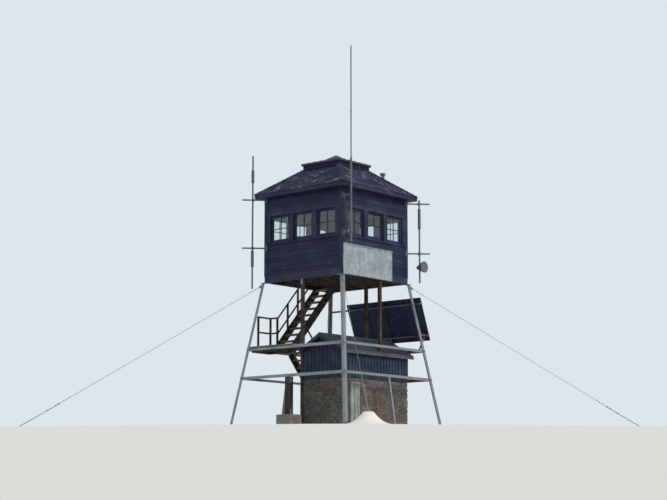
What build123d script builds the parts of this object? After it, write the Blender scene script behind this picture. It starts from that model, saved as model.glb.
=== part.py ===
from build123d import *
import os
from math import hypot

# A fire lookout: a small square cab on four splayed steel legs, with a dog-leg
# stair, a stone and board shed under one half, a panel array, masts and guys.
# Millimetres. Origin on the ground at the middle of the four legs, +Z up,
# front face towards -Y, right face towards +X.

# Legs, of steel angle
frame_height = 4430
leg_foot_half = 2225
leg_head_half = 1535
leg_width = 100
leg_thickness = 10
foot_plate_width = 260
foot_plate_thickness = 16
head_plate_width = 200
head_plate_thickness = 12

# Girts between the legs, of lighter steel angle
girt_width = 90
girt_thickness = 8
lower_girt_top = 1590
upper_girt_top = 2450

# Posts under the girts and under the cab
steel_post_width = 70
steel_post_plate_width = 200
steel_post_plate_thickness = 12
timber_post_width = 170
timber_post_x = -100
timber_post_y = -2010
foot_block_width = 520
foot_block_height = 400
cab_post_width = 90
right_cab_post_y = 250

# Cab floor
cab_half = 1525
rim_thickness = 90
rim_depth = 180
joist_thickness = 50
joist_spacing = 380
floor_thickness = 40
hatch_length = 1560
hatch_clearance = 20

# Cab walls and windows
wall_thickness = 100
sill_height = 960
window_height = 830
window_corner_margin = 235
mullion_width = 180
windows_a_side = 3
glass_thickness = 6
ceiling_height = 2240
ceiling_thickness = 15
panel_thickness = 12
panel_corner_margin = 25
panel_length = 2290
panel_drop = 200
panel_height = 910

# Hip roof, its raised vented crown and the ventilator on top
roof_eave_rise = 2690
eave_overhang = 235
roof_pitch = 0.75
roof_thickness = 90
fascia_thickness = 20
fascia_depth = 130
soffit_thickness = 15
crown_half = 700
crown_wall_thickness = 25
crown_rise = 185
crown_roof_overhang = 55
crown_roof_pitch = 0.14
crown_roof_thickness = 40
ventilator_half = 240
ventilator_rise = 45
ventilator_cap_overhang = 50
ventilator_cap_height = 180
ventilator_tip_half = 15
vent_pipe_radius = 50
vent_pipe_x = 900
vent_pipe_y = 1150
vent_pipe_rise = 320
vent_cap_radius = 85
vent_cap_height = 60

# Landing at the front left corner
deck_thickness = 40
deck_overhang = 25
landing_frame_depth = 130
landing_board_thickness = 45
landing_joist_spacing = 400
landing_back_y = -1000
landing_side_back_y = -1360
rail_post_width = 50
rail_width = 45
rail_height = 940
mid_rail_height = 480
landing_rail_inset = 110

# Stair
upper_flight_x = -1085
upper_flight_width = 670
lower_flight_x = -425
lower_flight_width = 550
upper_risers = 10
upper_step_length = 200
lower_risers = 12
lower_step_length = 180
stringer_thickness = 45
stringer_margin = 25
tread_depth = 235
tread_thickness = 40
lower_rail_height = 700
upper_rail_posts = 2

# Shed under the right half
stone_thickness = 220
stone_height = 1450
board_wall_thickness = 60
board_gap = 0.5
shed_ridge_z = 2750
shed_roof_pitch = 0.58
shed_roof_thickness = 50
shed_eave_overhang = 100
shed_gable_overhang = 150
shed_fascia_thickness = 20
shed_fascia_depth = 100
post_clearance = 3
pier_thickness = 60
pier_front_y = -1230
pier_back_y = -840
pier_height = 1300

# Panel array on the back
array_left_x = -1040
array_right_x = 1860
array_top_y = 1750
array_top_drop = 395
array_foot_y = 2230
array_foot_drop = 1660
array_panels = 4
array_gap = 12
array_panel_thickness = 35
array_rail_width = 50
array_rail_from_middle = 500
array_rail_left_x = -1800
array_arm_width = 60
array_arm_height = 50
array_strut_width = 40
array_strut_places = (-900, 450, 1735)

# Masts on stand-off arms, their heights from the cab's underside
mast_radius = 25
arm_width = 40
mast_eave_clearance = 40
mast_arm_beyond = 225
left_mast_low = -180
left_mast_top = 3900
left_arm_heights = (1060, 2540)
left_aerials = ((500, 960), (3080, 3450))
right_mast_low = 50
right_mast_top = 2600
right_arm_heights = (950, 2490)
right_aerials = ((1720, 2320),)
aerial_radius = 45
horn_radius = 170
horn_back_radius = 60
horn_reach = 180
horn_back_reach = 60
horn_rise = 530
main_mast_clearance = 80
main_mast_inset = 25
main_mast_low = 920
main_mast_joint = 3320
main_mast_top = 6780
main_mast_radius = 30
whip_radius = 18
main_arm_heights = (1220, 2320)

# Guys from the leg heads to the ground
guy_radius = 6.5
lug_reach = 35
guy_head_drop = 130
guy_foot_half = 6700
lug_length = 130
lug_depth = 70
lug_thickness = 16
anchor_plate_width = 160
anchor_plate_thickness = 30
turnbuckle_radius = 22
turnbuckle_length = 520
anchor_rod_radius = 12
anchor_rod_length = 950

# Dependent heights and places
floor_top_z = frame_height + rim_depth + floor_thickness
sill_z = floor_top_z + sill_height
ceiling_z = floor_top_z + ceiling_height
window_band = 2 * (cab_half - window_corner_margin)
window_pitch = (window_band + mullion_width) / windows_a_side
window_width = window_pitch - mullion_width
roof_eave_z = frame_height + roof_eave_rise
roof_half = cab_half + eave_overhang - fascia_thickness
landing_z = upper_girt_top + deck_thickness
landing_right_x = -cab_post_width
hatch_left_x = rim_thickness - cab_half
hatch_right_x = upper_flight_x + upper_flight_width / 2 + hatch_clearance
hatch_back_y = landing_back_y + (upper_risers - 1) * upper_step_length
hatch_front_y = hatch_back_y - hatch_length
shed_width = cab_half
shed_half_length = cab_half


# Height of the hip roof's upper surface, a distance out from the middle
def roof_top(half):
    return roof_eave_z + (cab_half + eave_overhang - half) * roof_pitch


def leg_half(z):
    return leg_foot_half + (leg_head_half - leg_foot_half) * z / frame_height


# Inner face of a leg's outer flange, where the girts lie
def flange_face(z):
    return leg_half(z) + leg_width / 2 - leg_thickness


def save(builder, name):
    builder.part.label = name
    export_step(builder.part, f"parts/{name}.step")


# Where the guys leave the lugs on the legs
guy_head_z = frame_height - guy_head_drop
guy_head_half = leg_half(guy_head_z) + leg_width / 2 + lug_reach


# A guy's plane at its head, looking down the cable, for one corner
def guy_plane(side_x, side_y):
    head = Vector(side_x * guy_head_half, side_y * guy_head_half, guy_head_z)
    foot = Vector(side_x * guy_foot_half, side_y * guy_foot_half, anchor_plate_thickness / 2)
    return Plane(origin=head, x_dir=(side_y, -side_x, 0), z_dir=foot - head)


guy_spread = (guy_foot_half - guy_head_half) * 2**0.5
guy_drop = guy_head_z - anchor_plate_thickness / 2
guy_length = hypot(guy_spread, guy_drop)
cable_length = guy_length - turnbuckle_length - anchor_rod_length

corners = {
    "front_left": (-1, -1),
    "front_right": (1, -1),
    "back_right": (1, 1),
    "back_left": (-1, 1),
}

os.makedirs("parts", exist_ok=True)


# Closed outline of a steel angle whose corner points away from the tower
def angle_outline(half, side_x, side_y):
    outer = half + leg_width / 2
    web = outer - leg_thickness
    inner = half - leg_width / 2
    points = [(outer, outer), (inner, outer), (inner, web), (web, web), (web, inner), (outer, inner)]
    return [(side_x * x, side_y * y) for x, y in points]


# Legs, each with a foot plate, a head plate and a lug for its guy
for corner, (side_x, side_y) in corners.items():
    with BuildPart() as leg:
        for height, half in ((0, leg_foot_half), (frame_height, leg_head_half)):
            with BuildSketch(Plane.XY.offset(height)):
                with BuildLine():
                    Polyline(*angle_outline(half, side_x, side_y), close=True)
                make_face()
        loft(ruled=True)
        with BuildSketch(Plane.XY):
            with Locations((side_x * leg_foot_half, side_y * leg_foot_half)):
                Rectangle(foot_plate_width, foot_plate_width)
        extrude(amount=foot_plate_thickness)
        with BuildSketch(Plane.XY.offset(frame_height)):
            with Locations((side_x * leg_head_half, side_y * leg_head_half)):
                Rectangle(head_plate_width, head_plate_width)
        extrude(amount=-head_plate_thickness)
        with BuildSketch(guy_plane(side_x, side_y)):
            Rectangle(lug_thickness, lug_depth)
        extrude(amount=-lug_length)
    save(leg, f"leg_{corner}")


# One girt along X: an upright flange against the legs and a level flange at its top or foot
def girt_along_x(side, top, shorten, flange_at_top):
    low = top - girt_width if flange_at_top else top - girt_width + girt_thickness
    high = top if flange_at_top else top - girt_thickness
    flange = (high - girt_thickness, high) if flange_at_top else (low, low + girt_thickness)
    with BuildPart() as girt:
        for (z_low, z_high), depth in (((low, high), girt_thickness), (flange, girt_width)):
            for z in (z_low, z_high):
                with BuildSketch(Plane.XY.offset(z)):
                    with Locations((0, side * (flange_face(z) - depth / 2))):
                        Rectangle(2 * (flange_face(z) - shorten), depth)
            loft(ruled=True)
    return girt.part


# The side girts stop at the front and back ones, with their level flange at the foot
girt_faces = {
    "front_girts": (-1, 0, True, 0),
    "back_girts": (1, 0, True, 0),
    "left_girts": (1, girt_thickness, False, 90),
    "right_girts": (-1, girt_thickness, False, 90),
}
for name, (side, shorten, flange_at_top, turn) in girt_faces.items():
    bars = [girt_along_x(side, top, shorten, flange_at_top) for top in (lower_girt_top, upper_girt_top)]
    with BuildPart() as girts:
        add(bars, rotation=(0, 0, turn))
    save(girts, name)

# Steel posts from the ground to the middle of the left, right and back girts
post_head_z = lower_girt_top - girt_width
with BuildPart() as foot_posts:
    for turn, lift in ((0, girt_thickness), (90, 0), (180, girt_thickness)):
        for z in (0, post_head_z + lift):
            with BuildSketch(Plane.XY.rotated((0, 0, turn)).offset(z)):
                with Locations((flange_face(z) - steel_post_width / 2, 0)):
                    Rectangle(steel_post_width, steel_post_width)
        loft(ruled=True)
        with BuildSketch(Plane.XY.rotated((0, 0, turn))):
            with Locations((flange_face(0) - steel_post_width / 2, 0)):
                Rectangle(steel_post_plate_width, steel_post_plate_width)
        extrude(amount=steel_post_plate_thickness)
save(foot_posts, "foot_posts")

# Timber post under the front girt, on a foot block
with BuildPart() as front_foot_block:
    with BuildSketch(Plane.XY):
        with Locations((timber_post_x, timber_post_y)):
            Rectangle(foot_block_width, foot_block_width)
    extrude(amount=foot_block_height)
save(front_foot_block, "front_foot_block")

with BuildPart() as front_foot_post:
    with BuildSketch(Plane.XY.offset(foot_block_height)):
        with Locations((timber_post_x, timber_post_y)):
            Rectangle(timber_post_width, timber_post_width)
    extrude(amount=lower_girt_top - girt_width - foot_block_height)
save(front_foot_post, "front_foot_post")

# Posts that carry the middle of the cab: two from the ground beside the shed, one off its wall
shed_middle_x = shed_width / 2
shed_wall_top = shed_ridge_z - shed_middle_x * shed_roof_pitch - shed_roof_thickness
cab_post_middle = cab_half - cab_post_width / 2
cab_posts_at = (
    (-cab_post_width / 2, -cab_post_middle, 0),
    (-cab_post_width / 2, cab_post_middle, 0),
    (cab_post_middle, right_cab_post_y, shed_wall_top),
)
with BuildPart() as cab_posts:
    for x, y, low in cab_posts_at:
        with BuildSketch(Plane.XY.offset(low)):
            with Locations((x, y)):
                Rectangle(cab_post_width, cab_post_width)
        extrude(amount=frame_height - low)
save(cab_posts, "cab_posts")

# Cab floor: rim, joists and the trimmed hatch
hatch_width = hatch_right_x - hatch_left_x
hatch_x = (hatch_left_x + hatch_right_x) / 2
hatch_y = (hatch_back_y + hatch_front_y) / 2
joist_room = cab_half - rim_thickness - joist_thickness - hatch_right_x
joist_count = int(joist_room / joist_spacing) + 1
with BuildPart() as floor_frame:
    with BuildSketch(Plane.XY.offset(frame_height)):
        Rectangle(2 * cab_half, 2 * cab_half)
        Rectangle(2 * (cab_half - rim_thickness), 2 * (cab_half - rim_thickness), mode=Mode.SUBTRACT)
        for step in range(joist_count):
            with Locations((hatch_right_x + joist_thickness / 2 + step * joist_spacing, 0)):
                Rectangle(joist_thickness, 2 * (cab_half - rim_thickness))
        for y in (hatch_front_y - joist_thickness / 2, hatch_back_y + joist_thickness / 2):
            with Locations((hatch_x, y)):
                Rectangle(hatch_width, joist_thickness)
        with Locations((hatch_x, hatch_y)):
            Rectangle(hatch_width, hatch_length, mode=Mode.SUBTRACT)
    extrude(amount=rim_depth)
save(floor_frame, "floor_frame")

with BuildPart() as cab_floor:
    with BuildSketch(Plane.XY.offset(frame_height + rim_depth)):
        Rectangle(2 * cab_half, 2 * cab_half)
        with Locations((hatch_x, hatch_y)):
            Rectangle(hatch_width, hatch_length, mode=Mode.SUBTRACT)
    extrude(amount=floor_thickness)
save(cab_floor, "cab_floor")

# Cab walls, with three windows cut through each
wall_top_z = roof_top(cab_half) - roof_thickness
wall_height = wall_top_z - floor_top_z
window_z = sill_z + window_height / 2
wall_planes = {
    "front_wall": (Plane.XZ.offset(cab_half), 2 * cab_half),
    "back_wall": (Plane.XZ.rotated((0, 0, 180)).offset(cab_half), 2 * cab_half),
    "right_wall": (Plane.YZ.offset(cab_half), 2 * (cab_half - wall_thickness)),
    "left_wall": (Plane.YZ.rotated((0, 0, 180)).offset(cab_half), 2 * (cab_half - wall_thickness)),
}
for name, (plane, width) in wall_planes.items():
    with BuildPart() as wall:
        with BuildSketch(plane):
            with Locations((0, floor_top_z + wall_height / 2)):
                Rectangle(width, wall_height)
            with Locations((0, window_z)):
                with GridLocations(window_pitch, 0, windows_a_side, 1):
                    Rectangle(window_width, window_height, mode=Mode.SUBTRACT)
        extrude(amount=-wall_thickness)
    save(wall, name)

# Window panes, in the middle of the walls
with BuildPart() as window_glass:
    for plane, width in wall_planes.values():
        with BuildSketch(plane.offset(-(wall_thickness - glass_thickness) / 2)):
            with Locations((0, window_z)):
                with GridLocations(window_pitch, 0, windows_a_side, 1):
                    Rectangle(window_width, window_height)
        extrude(amount=-glass_thickness)
save(window_glass, "window_glass")

# Sheet that covers most of the right wall below its windows
panel_y = panel_corner_margin + panel_length / 2 - cab_half
with BuildPart() as right_wall_panel:
    with BuildSketch(Plane.YZ.offset(cab_half)):
        with Locations((panel_y, floor_top_z - panel_drop + panel_height / 2)):
            Rectangle(panel_length, panel_height)
    extrude(amount=panel_thickness)
save(right_wall_panel, "right_wall_panel")

# Ceiling between the walls
with BuildPart() as ceiling:
    with BuildSketch(Plane.XY.offset(ceiling_z)):
        Rectangle(2 * (cab_half - wall_thickness), 2 * (cab_half - wall_thickness))
    extrude(amount=ceiling_thickness)
save(ceiling, "ceiling")

# Eaves: fascia and soffit
fascia_top_z = roof_top(roof_half)
with BuildPart() as fascia:
    with BuildSketch(Plane.XY.offset(fascia_top_z - fascia_depth)):
        Rectangle(2 * (roof_half + fascia_thickness), 2 * (roof_half + fascia_thickness))
        Rectangle(2 * roof_half, 2 * roof_half, mode=Mode.SUBTRACT)
    extrude(amount=fascia_depth)
save(fascia, "fascia")

with BuildPart() as soffit:
    with BuildSketch(Plane.XY.offset(fascia_top_z - fascia_depth)):
        Rectangle(2 * roof_half, 2 * roof_half)
        Rectangle(2 * cab_half, 2 * cab_half, mode=Mode.SUBTRACT)
    extrude(amount=soffit_thickness)
save(soffit, "soffit")


# Four-sided hipped shell, open in the middle, measured to its upper surface
def hip_shell(low_half, low_z, high_half, high_z, thick):
    with BuildPart() as shell:
        with BuildSketch(Plane.XY.offset(low_z - thick)):
            Rectangle(2 * low_half, 2 * low_half)
        extrude(amount=thick)
        for drop, mode in ((0, Mode.ADD), (thick, Mode.SUBTRACT)):
            for half, z in ((low_half, low_z), (high_half, high_z)):
                with BuildSketch(Plane.XY.offset(z - drop)):
                    Rectangle(2 * half, 2 * half)
            loft(ruled=True, mode=mode)
        with BuildSketch(Plane.XY.offset(high_z - thick)):
            Rectangle(2 * high_half, 2 * high_half)
        extrude(amount=thick, mode=Mode.SUBTRACT)
    return shell


roof = hip_shell(roof_half, roof_top(roof_half), crown_half, roof_top(crown_half), roof_thickness)
save(roof, "roof")

# Crown: low louvred walls under a nearly flat square roof
crown_eave_z = roof_top(crown_half) + crown_rise
crown_roof_half = crown_half + crown_roof_overhang
crown_inside = crown_half - crown_wall_thickness


def crown_top(half):
    return crown_eave_z + (crown_roof_half - half) * crown_roof_pitch


with BuildPart() as crown_walls:
    crown_low_z = roof_top(crown_half) - roof_thickness
    with BuildSketch(Plane.XY.offset(crown_low_z)):
        Rectangle(2 * crown_half, 2 * crown_half)
        Rectangle(2 * crown_inside, 2 * crown_inside, mode=Mode.SUBTRACT)
    extrude(amount=crown_top(crown_half) - crown_roof_thickness - crown_low_z)
save(crown_walls, "crown_walls")

crown_roof = hip_shell(
    crown_roof_half, crown_eave_z, ventilator_half, crown_top(ventilator_half), crown_roof_thickness
)
save(crown_roof, "crown_roof")

with BuildPart() as ventilator:
    cap_low_z = crown_top(ventilator_half) + ventilator_rise
    with BuildSketch(Plane.XY.offset(crown_top(ventilator_half) - crown_roof_thickness)):
        Rectangle(2 * ventilator_half, 2 * ventilator_half)
    extrude(amount=crown_roof_thickness + ventilator_rise)
    cap_half = ventilator_half + ventilator_cap_overhang
    for half, z in ((cap_half, cap_low_z), (ventilator_tip_half, cap_low_z + ventilator_cap_height)):
        with BuildSketch(Plane.XY.offset(z)):
            Rectangle(2 * half, 2 * half)
    loft(ruled=True)
save(ventilator, "ventilator")

# Vent pipe, cut to the slope of the roof at its foot
with BuildPart() as vent_pipe:
    pipe_foot_z = roof_top(vent_pipe_y + vent_pipe_radius)
    pipe_top_z = roof_top(vent_pipe_y) + vent_pipe_rise
    with BuildSketch(Plane.XY.offset(pipe_foot_z)):
        with Locations((vent_pipe_x, vent_pipe_y)):
            Circle(vent_pipe_radius)
    extrude(amount=pipe_top_z - pipe_foot_z)
    with BuildSketch(Plane.XY.offset(pipe_top_z - vent_cap_height)):
        with Locations((vent_pipe_x, vent_pipe_y)):
            Circle(vent_cap_radius)
    extrude(amount=vent_cap_height)
    for half, z in ((roof_half, roof_top(roof_half)), (crown_half, roof_top(crown_half))):
        with BuildSketch(Plane.XY.offset(z)):
            Rectangle(2 * half, 2 * half)
    loft(ruled=True, mode=Mode.SUBTRACT)
save(vent_pipe, "vent_pipe")

# Landing: a deck of two depths, on a frame inside the girts
frame_edge = flange_face(upper_girt_top) - girt_width
deck_edge = flange_face(upper_girt_top) + leg_thickness + deck_overhang
step_x = (upper_flight_x + upper_flight_width / 2 + lower_flight_x - lower_flight_width / 2) / 2


def landing_outline(edge):
    return [
        (-edge, -edge),
        (landing_right_x, -edge),
        (landing_right_x, landing_side_back_y),
        (step_x, landing_side_back_y),
        (step_x, landing_back_y),
        (-edge, landing_back_y),
    ]


with BuildPart() as landing_deck:
    with BuildSketch(Plane.XY.offset(upper_girt_top)):
        with BuildLine():
            Polyline(*landing_outline(deck_edge), close=True)
        make_face()
        notch = deck_edge - leg_half(landing_z) + leg_width / 2
        with Locations((notch / 2 - deck_edge, notch / 2 - deck_edge)):
            Rectangle(notch, notch, mode=Mode.SUBTRACT)
    extrude(amount=deck_thickness)
save(landing_deck, "landing_deck")

with BuildPart() as landing_frame:
    with BuildSketch(Plane.XY.offset(upper_girt_top - landing_frame_depth)):
        with BuildLine():
            Polyline(*landing_outline(frame_edge), close=True)
        make_face()
        offset(amount=-landing_board_thickness, mode=Mode.SUBTRACT)
        frame_length = landing_side_back_y + frame_edge
        joists = int((landing_right_x + frame_edge) / landing_joist_spacing)
        for step in range(1, joists + 1):
            with Locations((step * landing_joist_spacing - frame_edge, frame_length / 2 - frame_edge)):
                Rectangle(landing_board_thickness, frame_length)
    extrude(amount=landing_frame_depth)
save(landing_frame, "landing_frame")

# Landing rails: along the left edge, then back to the foot of the upper flight
newel_x = upper_flight_x - upper_flight_width / 2 - rail_post_width / 2
newel_y = landing_back_y - rail_post_width
landing_rail_x = landing_rail_inset - leg_half(landing_z)
landing_rail_foot_y = -leg_half(landing_z + rail_height) + leg_width
with BuildPart() as landing_rail:
    posts = ((landing_rail_x, landing_rail_foot_y), (landing_rail_x, newel_y), (newel_x, newel_y))
    for x, y in posts:
        with BuildSketch(Plane.XY.offset(landing_z)):
            with Locations((x, y)):
                Rectangle(rail_post_width, rail_post_width)
        extrude(amount=rail_height)
    for height in (rail_height, mid_rail_height):
        with BuildSketch(Plane.XY.offset(landing_z + height - rail_width)):
            with Locations((landing_rail_x, (landing_rail_foot_y + newel_y) / 2)):
                Rectangle(rail_width, newel_y - landing_rail_foot_y)
            with Locations(((landing_rail_x + newel_x) / 2, newel_y)):
                Rectangle(newel_x - landing_rail_x, rail_width)
        extrude(amount=rail_width)
save(landing_rail, "landing_rail")

# Upper flight: from the landing to the cab floor, climbing towards the back
upper_rise = (floor_top_z - landing_z) / upper_risers
upper_pitch = upper_rise / upper_step_length
upper_left_x = upper_flight_x - upper_flight_width / 2
upper_right_x = upper_flight_x + upper_flight_width / 2
upper_stringer_depth = tread_depth * upper_pitch + tread_thickness + 2 * stringer_margin


# Upper edge of the upper stringers, just above the treads' noses
def upper_edge(y):
    return landing_z + upper_rise + stringer_margin + (y - landing_back_y) * upper_pitch


def y_on_upper_edge(z):
    return landing_back_y + (z - landing_z - upper_rise - stringer_margin) / upper_pitch


with BuildPart() as upper_stringers:
    for x in (upper_left_x, upper_right_x - stringer_thickness):
        with BuildSketch(Plane.YZ.offset(x)):
            with BuildLine():
                Polyline(
                    (y_on_upper_edge(landing_z), landing_z),
                    (landing_back_y, landing_z),
                    (landing_back_y, upper_edge(landing_back_y) - upper_stringer_depth),
                    (hatch_back_y, upper_edge(hatch_back_y) - upper_stringer_depth),
                    (hatch_back_y, floor_top_z),
                    (y_on_upper_edge(floor_top_z), floor_top_z),
                    close=True,
                )
            make_face()
        extrude(amount=stringer_thickness)
save(upper_stringers, "upper_stringers")

with BuildPart() as upper_treads:
    with BuildSketch(Plane.YZ.offset(upper_left_x + stringer_thickness)):
        for step in range(1, upper_risers):
            nose_y = landing_back_y + (step - 1) * upper_step_length
            back_y = min(nose_y + tread_depth, hatch_back_y)
            with Locations(((nose_y + back_y) / 2, landing_z + step * upper_rise - tread_thickness / 2)):
                Rectangle(back_y - nose_y, tread_thickness)
    extrude(amount=upper_flight_width - 2 * stringer_thickness)
save(upper_treads, "upper_treads")

# Rails of the upper flight: from the newel up to the underside of the cab
rail_start_y = newel_y + rail_post_width / 2
with BuildPart() as upper_handrail:
    with BuildSketch(Plane.YZ.offset(upper_left_x - rail_width)):
        for height in (rail_height, mid_rail_height):
            start_z = landing_z + height
            end_y = rail_start_y + (frame_height - start_z) / upper_pitch
            with BuildLine():
                Polyline(
                    (rail_start_y, start_z),
                    (end_y, frame_height),
                    (end_y + rail_width / upper_pitch, frame_height),
                    (rail_start_y, start_z - rail_width),
                    close=True,
                )
            make_face()
    extrude(amount=rail_width)
    rail_end_y = rail_start_y + (frame_height - landing_z - rail_height) / upper_pitch
    post_pitch = (rail_end_y - rail_post_width / 2 - newel_y) / upper_rail_posts
    for step in range(1, upper_rail_posts + 1):
        post_y = newel_y + step * post_pitch
        post_top = landing_z + rail_height + (post_y - rail_post_width / 2 - rail_start_y) * upper_pitch
        post_low = upper_edge(post_y) - upper_stringer_depth / 2
        with BuildSketch(Plane.YZ.offset(upper_left_x - rail_width)):
            with Locations((post_y, (post_top + post_low) / 2)):
                Rectangle(rail_post_width, post_top - post_low)
        extrude(amount=rail_width)
save(upper_handrail, "upper_handrail")

# Lower flight: from the landing to the ground, going down towards the back
lower_rise = landing_z / lower_risers
lower_pitch = lower_rise / lower_step_length
lower_left_x = lower_flight_x - lower_flight_width / 2
lower_right_x = lower_flight_x + lower_flight_width / 2
lower_stringer_depth = tread_depth * lower_pitch + tread_thickness + 2 * stringer_margin


# Upper edge of the lower stringers
def lower_edge(y):
    return landing_z + stringer_margin - (y - landing_side_back_y) * lower_pitch


def y_on_lower_edge(z):
    return landing_side_back_y + (landing_z + stringer_margin - z) / lower_pitch


with BuildPart() as lower_stringers:
    for x in (lower_left_x, lower_right_x - stringer_thickness):
        with BuildSketch(Plane.YZ.offset(x)):
            with BuildLine():
                Polyline(
                    (landing_side_back_y, landing_z),
                    (y_on_lower_edge(landing_z), landing_z),
                    (y_on_lower_edge(0), 0),
                    (y_on_lower_edge(lower_stringer_depth), 0),
                    (landing_side_back_y, lower_edge(landing_side_back_y) - lower_stringer_depth),
                    close=True,
                )
            make_face()
        extrude(amount=stringer_thickness)
save(lower_stringers, "lower_stringers")

with BuildPart() as lower_treads:
    with BuildSketch(Plane.YZ.offset(lower_left_x + stringer_thickness)):
        for step in range(1, lower_risers):
            nose_y = landing_side_back_y + step * lower_step_length
            with Locations((nose_y - tread_depth / 2, landing_z - step * lower_rise - tread_thickness / 2)):
                Rectangle(tread_depth, tread_thickness)
    extrude(amount=lower_flight_width - 2 * stringer_thickness)
save(lower_treads, "lower_treads")

with BuildPart() as lower_handrail:
    first_post_y = landing_side_back_y + rail_post_width / 2 + post_clearance
    last_post_y = y_on_lower_edge(lower_rise)
    rail_lift = lower_rail_height - stringer_margin
    with BuildSketch(Plane.YZ.offset(lower_right_x)):
        with BuildLine():
            Polyline(
                (first_post_y, lower_edge(first_post_y) + rail_lift),
                (last_post_y, lower_edge(last_post_y) + rail_lift),
                (last_post_y, lower_edge(last_post_y) + rail_lift - rail_width),
                (first_post_y, lower_edge(first_post_y) + rail_lift - rail_width),
                close=True,
            )
        make_face()
        for post_y in (first_post_y, (first_post_y + last_post_y) / 2, last_post_y):
            post_top = lower_edge(post_y + rail_post_width / 2) + rail_lift
            post_low = max(lower_edge(post_y) - lower_stringer_depth / 2, 0)
            with Locations((post_y, (post_top + post_low) / 2)):
                Rectangle(rail_post_width, post_top - post_low)
    extrude(amount=rail_width)
save(lower_handrail, "lower_handrail")

# Shed: a stone ring, board walls on it and a gable roof whose ridge runs from front to back
with BuildPart() as shed_base:
    with BuildSketch(Plane.XY):
        with Locations((shed_middle_x, 0)):
            Rectangle(shed_width, 2 * shed_half_length)
            Rectangle(
                shed_width - 2 * stone_thickness,
                2 * (shed_half_length - stone_thickness),
                mode=Mode.SUBTRACT,
            )
    extrude(amount=stone_height)
save(shed_base, "shed_base")


# Underside of the shed roof, a distance from the ridge
def shed_roof_under(run):
    return shed_ridge_z - shed_roof_thickness - run * shed_roof_pitch


with BuildPart() as shed_boards:
    for y in (-shed_half_length, shed_half_length - board_wall_thickness):
        with BuildSketch(Plane.XZ.offset(-y)):
            with BuildLine():
                Polyline(
                    (0, stone_height),
                    (shed_width, stone_height),
                    (shed_width, shed_roof_under(shed_middle_x)),
                    (shed_middle_x, shed_roof_under(0)),
                    (0, shed_roof_under(shed_middle_x)),
                    close=True,
                )
            make_face()
        extrude(amount=-board_wall_thickness)
    side_length = 2 * (shed_half_length - board_wall_thickness - board_gap)
    with BuildSketch(Plane.XY.offset(stone_height)):
        with Locations((board_wall_thickness / 2, 0), (shed_width - board_wall_thickness / 2, 0)):
            Rectangle(board_wall_thickness, side_length)
    extrude(amount=shed_roof_under(shed_middle_x) - stone_height)
save(shed_boards, "shed_boards")

shed_eave_run = shed_middle_x + shed_eave_overhang
shed_roof_length = 2 * (shed_half_length + shed_gable_overhang)
with BuildPart() as shed_roof:
    with BuildSketch(Plane.XZ.offset(shed_roof_length / 2)):
        with BuildLine():
            Polyline(
                (0, shed_roof_under(shed_middle_x)),
                (shed_middle_x, shed_roof_under(0)),
                (shed_middle_x + shed_eave_run, shed_roof_under(shed_eave_run)),
                (shed_middle_x + shed_eave_run, shed_roof_under(shed_eave_run) + shed_roof_thickness),
                (shed_middle_x, shed_ridge_z),
                (0, shed_roof_under(shed_middle_x) + shed_roof_thickness),
                close=True,
            )
        make_face()
    extrude(amount=-shed_roof_length)
    notch_side = cab_post_width + 2 * post_clearance
    with BuildSketch(Plane.XY.offset(shed_wall_top - shed_roof_thickness)):
        with Locations((cab_post_middle, right_cab_post_y)):
            Rectangle(notch_side, notch_side)
    extrude(amount=shed_ridge_z - shed_wall_top, mode=Mode.SUBTRACT)
save(shed_roof, "shed_roof")

with BuildPart() as shed_fascia:
    shed_eave_top = shed_roof_under(shed_eave_run) + shed_roof_thickness
    with BuildSketch(Plane.YZ.offset(shed_middle_x + shed_eave_run)):
        with Locations((0, shed_eave_top - shed_fascia_depth / 2)):
            Rectangle(shed_roof_length, shed_fascia_depth)
    extrude(amount=shed_fascia_thickness)
save(shed_fascia, "shed_fascia")

with BuildPart() as shed_pier:
    with BuildSketch(Plane.YZ.offset(shed_width)):
        with Locations(((pier_front_y + pier_back_y) / 2, pier_height / 2)):
            Rectangle(pier_back_y - pier_front_y, pier_height)
    extrude(amount=pier_thickness)
save(shed_pier, "shed_pier")

# Panel array on the back: a tilted plane, local X along the tower's X and local Y down the slope
array_top_z = frame_height - array_top_drop
array_foot_z = frame_height - array_foot_drop
array_length = hypot(array_foot_y - array_top_y, array_top_z - array_foot_z)
array_middle_x = (array_left_x + array_right_x) / 2
array_slope = Vector(0, array_foot_y - array_top_y, array_foot_z - array_top_z).normalized()
array_plane = Plane(
    origin=(array_middle_x, (array_top_y + array_foot_y) / 2, (array_top_z + array_foot_z) / 2),
    x_dir=(1, 0, 0),
    z_dir=Vector(1, 0, 0).cross(array_slope),
)
panel_pitch = (array_right_x - array_left_x + array_gap) / array_panels

with BuildPart() as solar_panels:
    with BuildSketch(array_plane):
        with GridLocations(panel_pitch, 0, array_panels, 1):
            Rectangle(panel_pitch - array_gap, array_length)
    extrude(amount=-array_panel_thickness)
save(solar_panels, "solar_panels")

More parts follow.
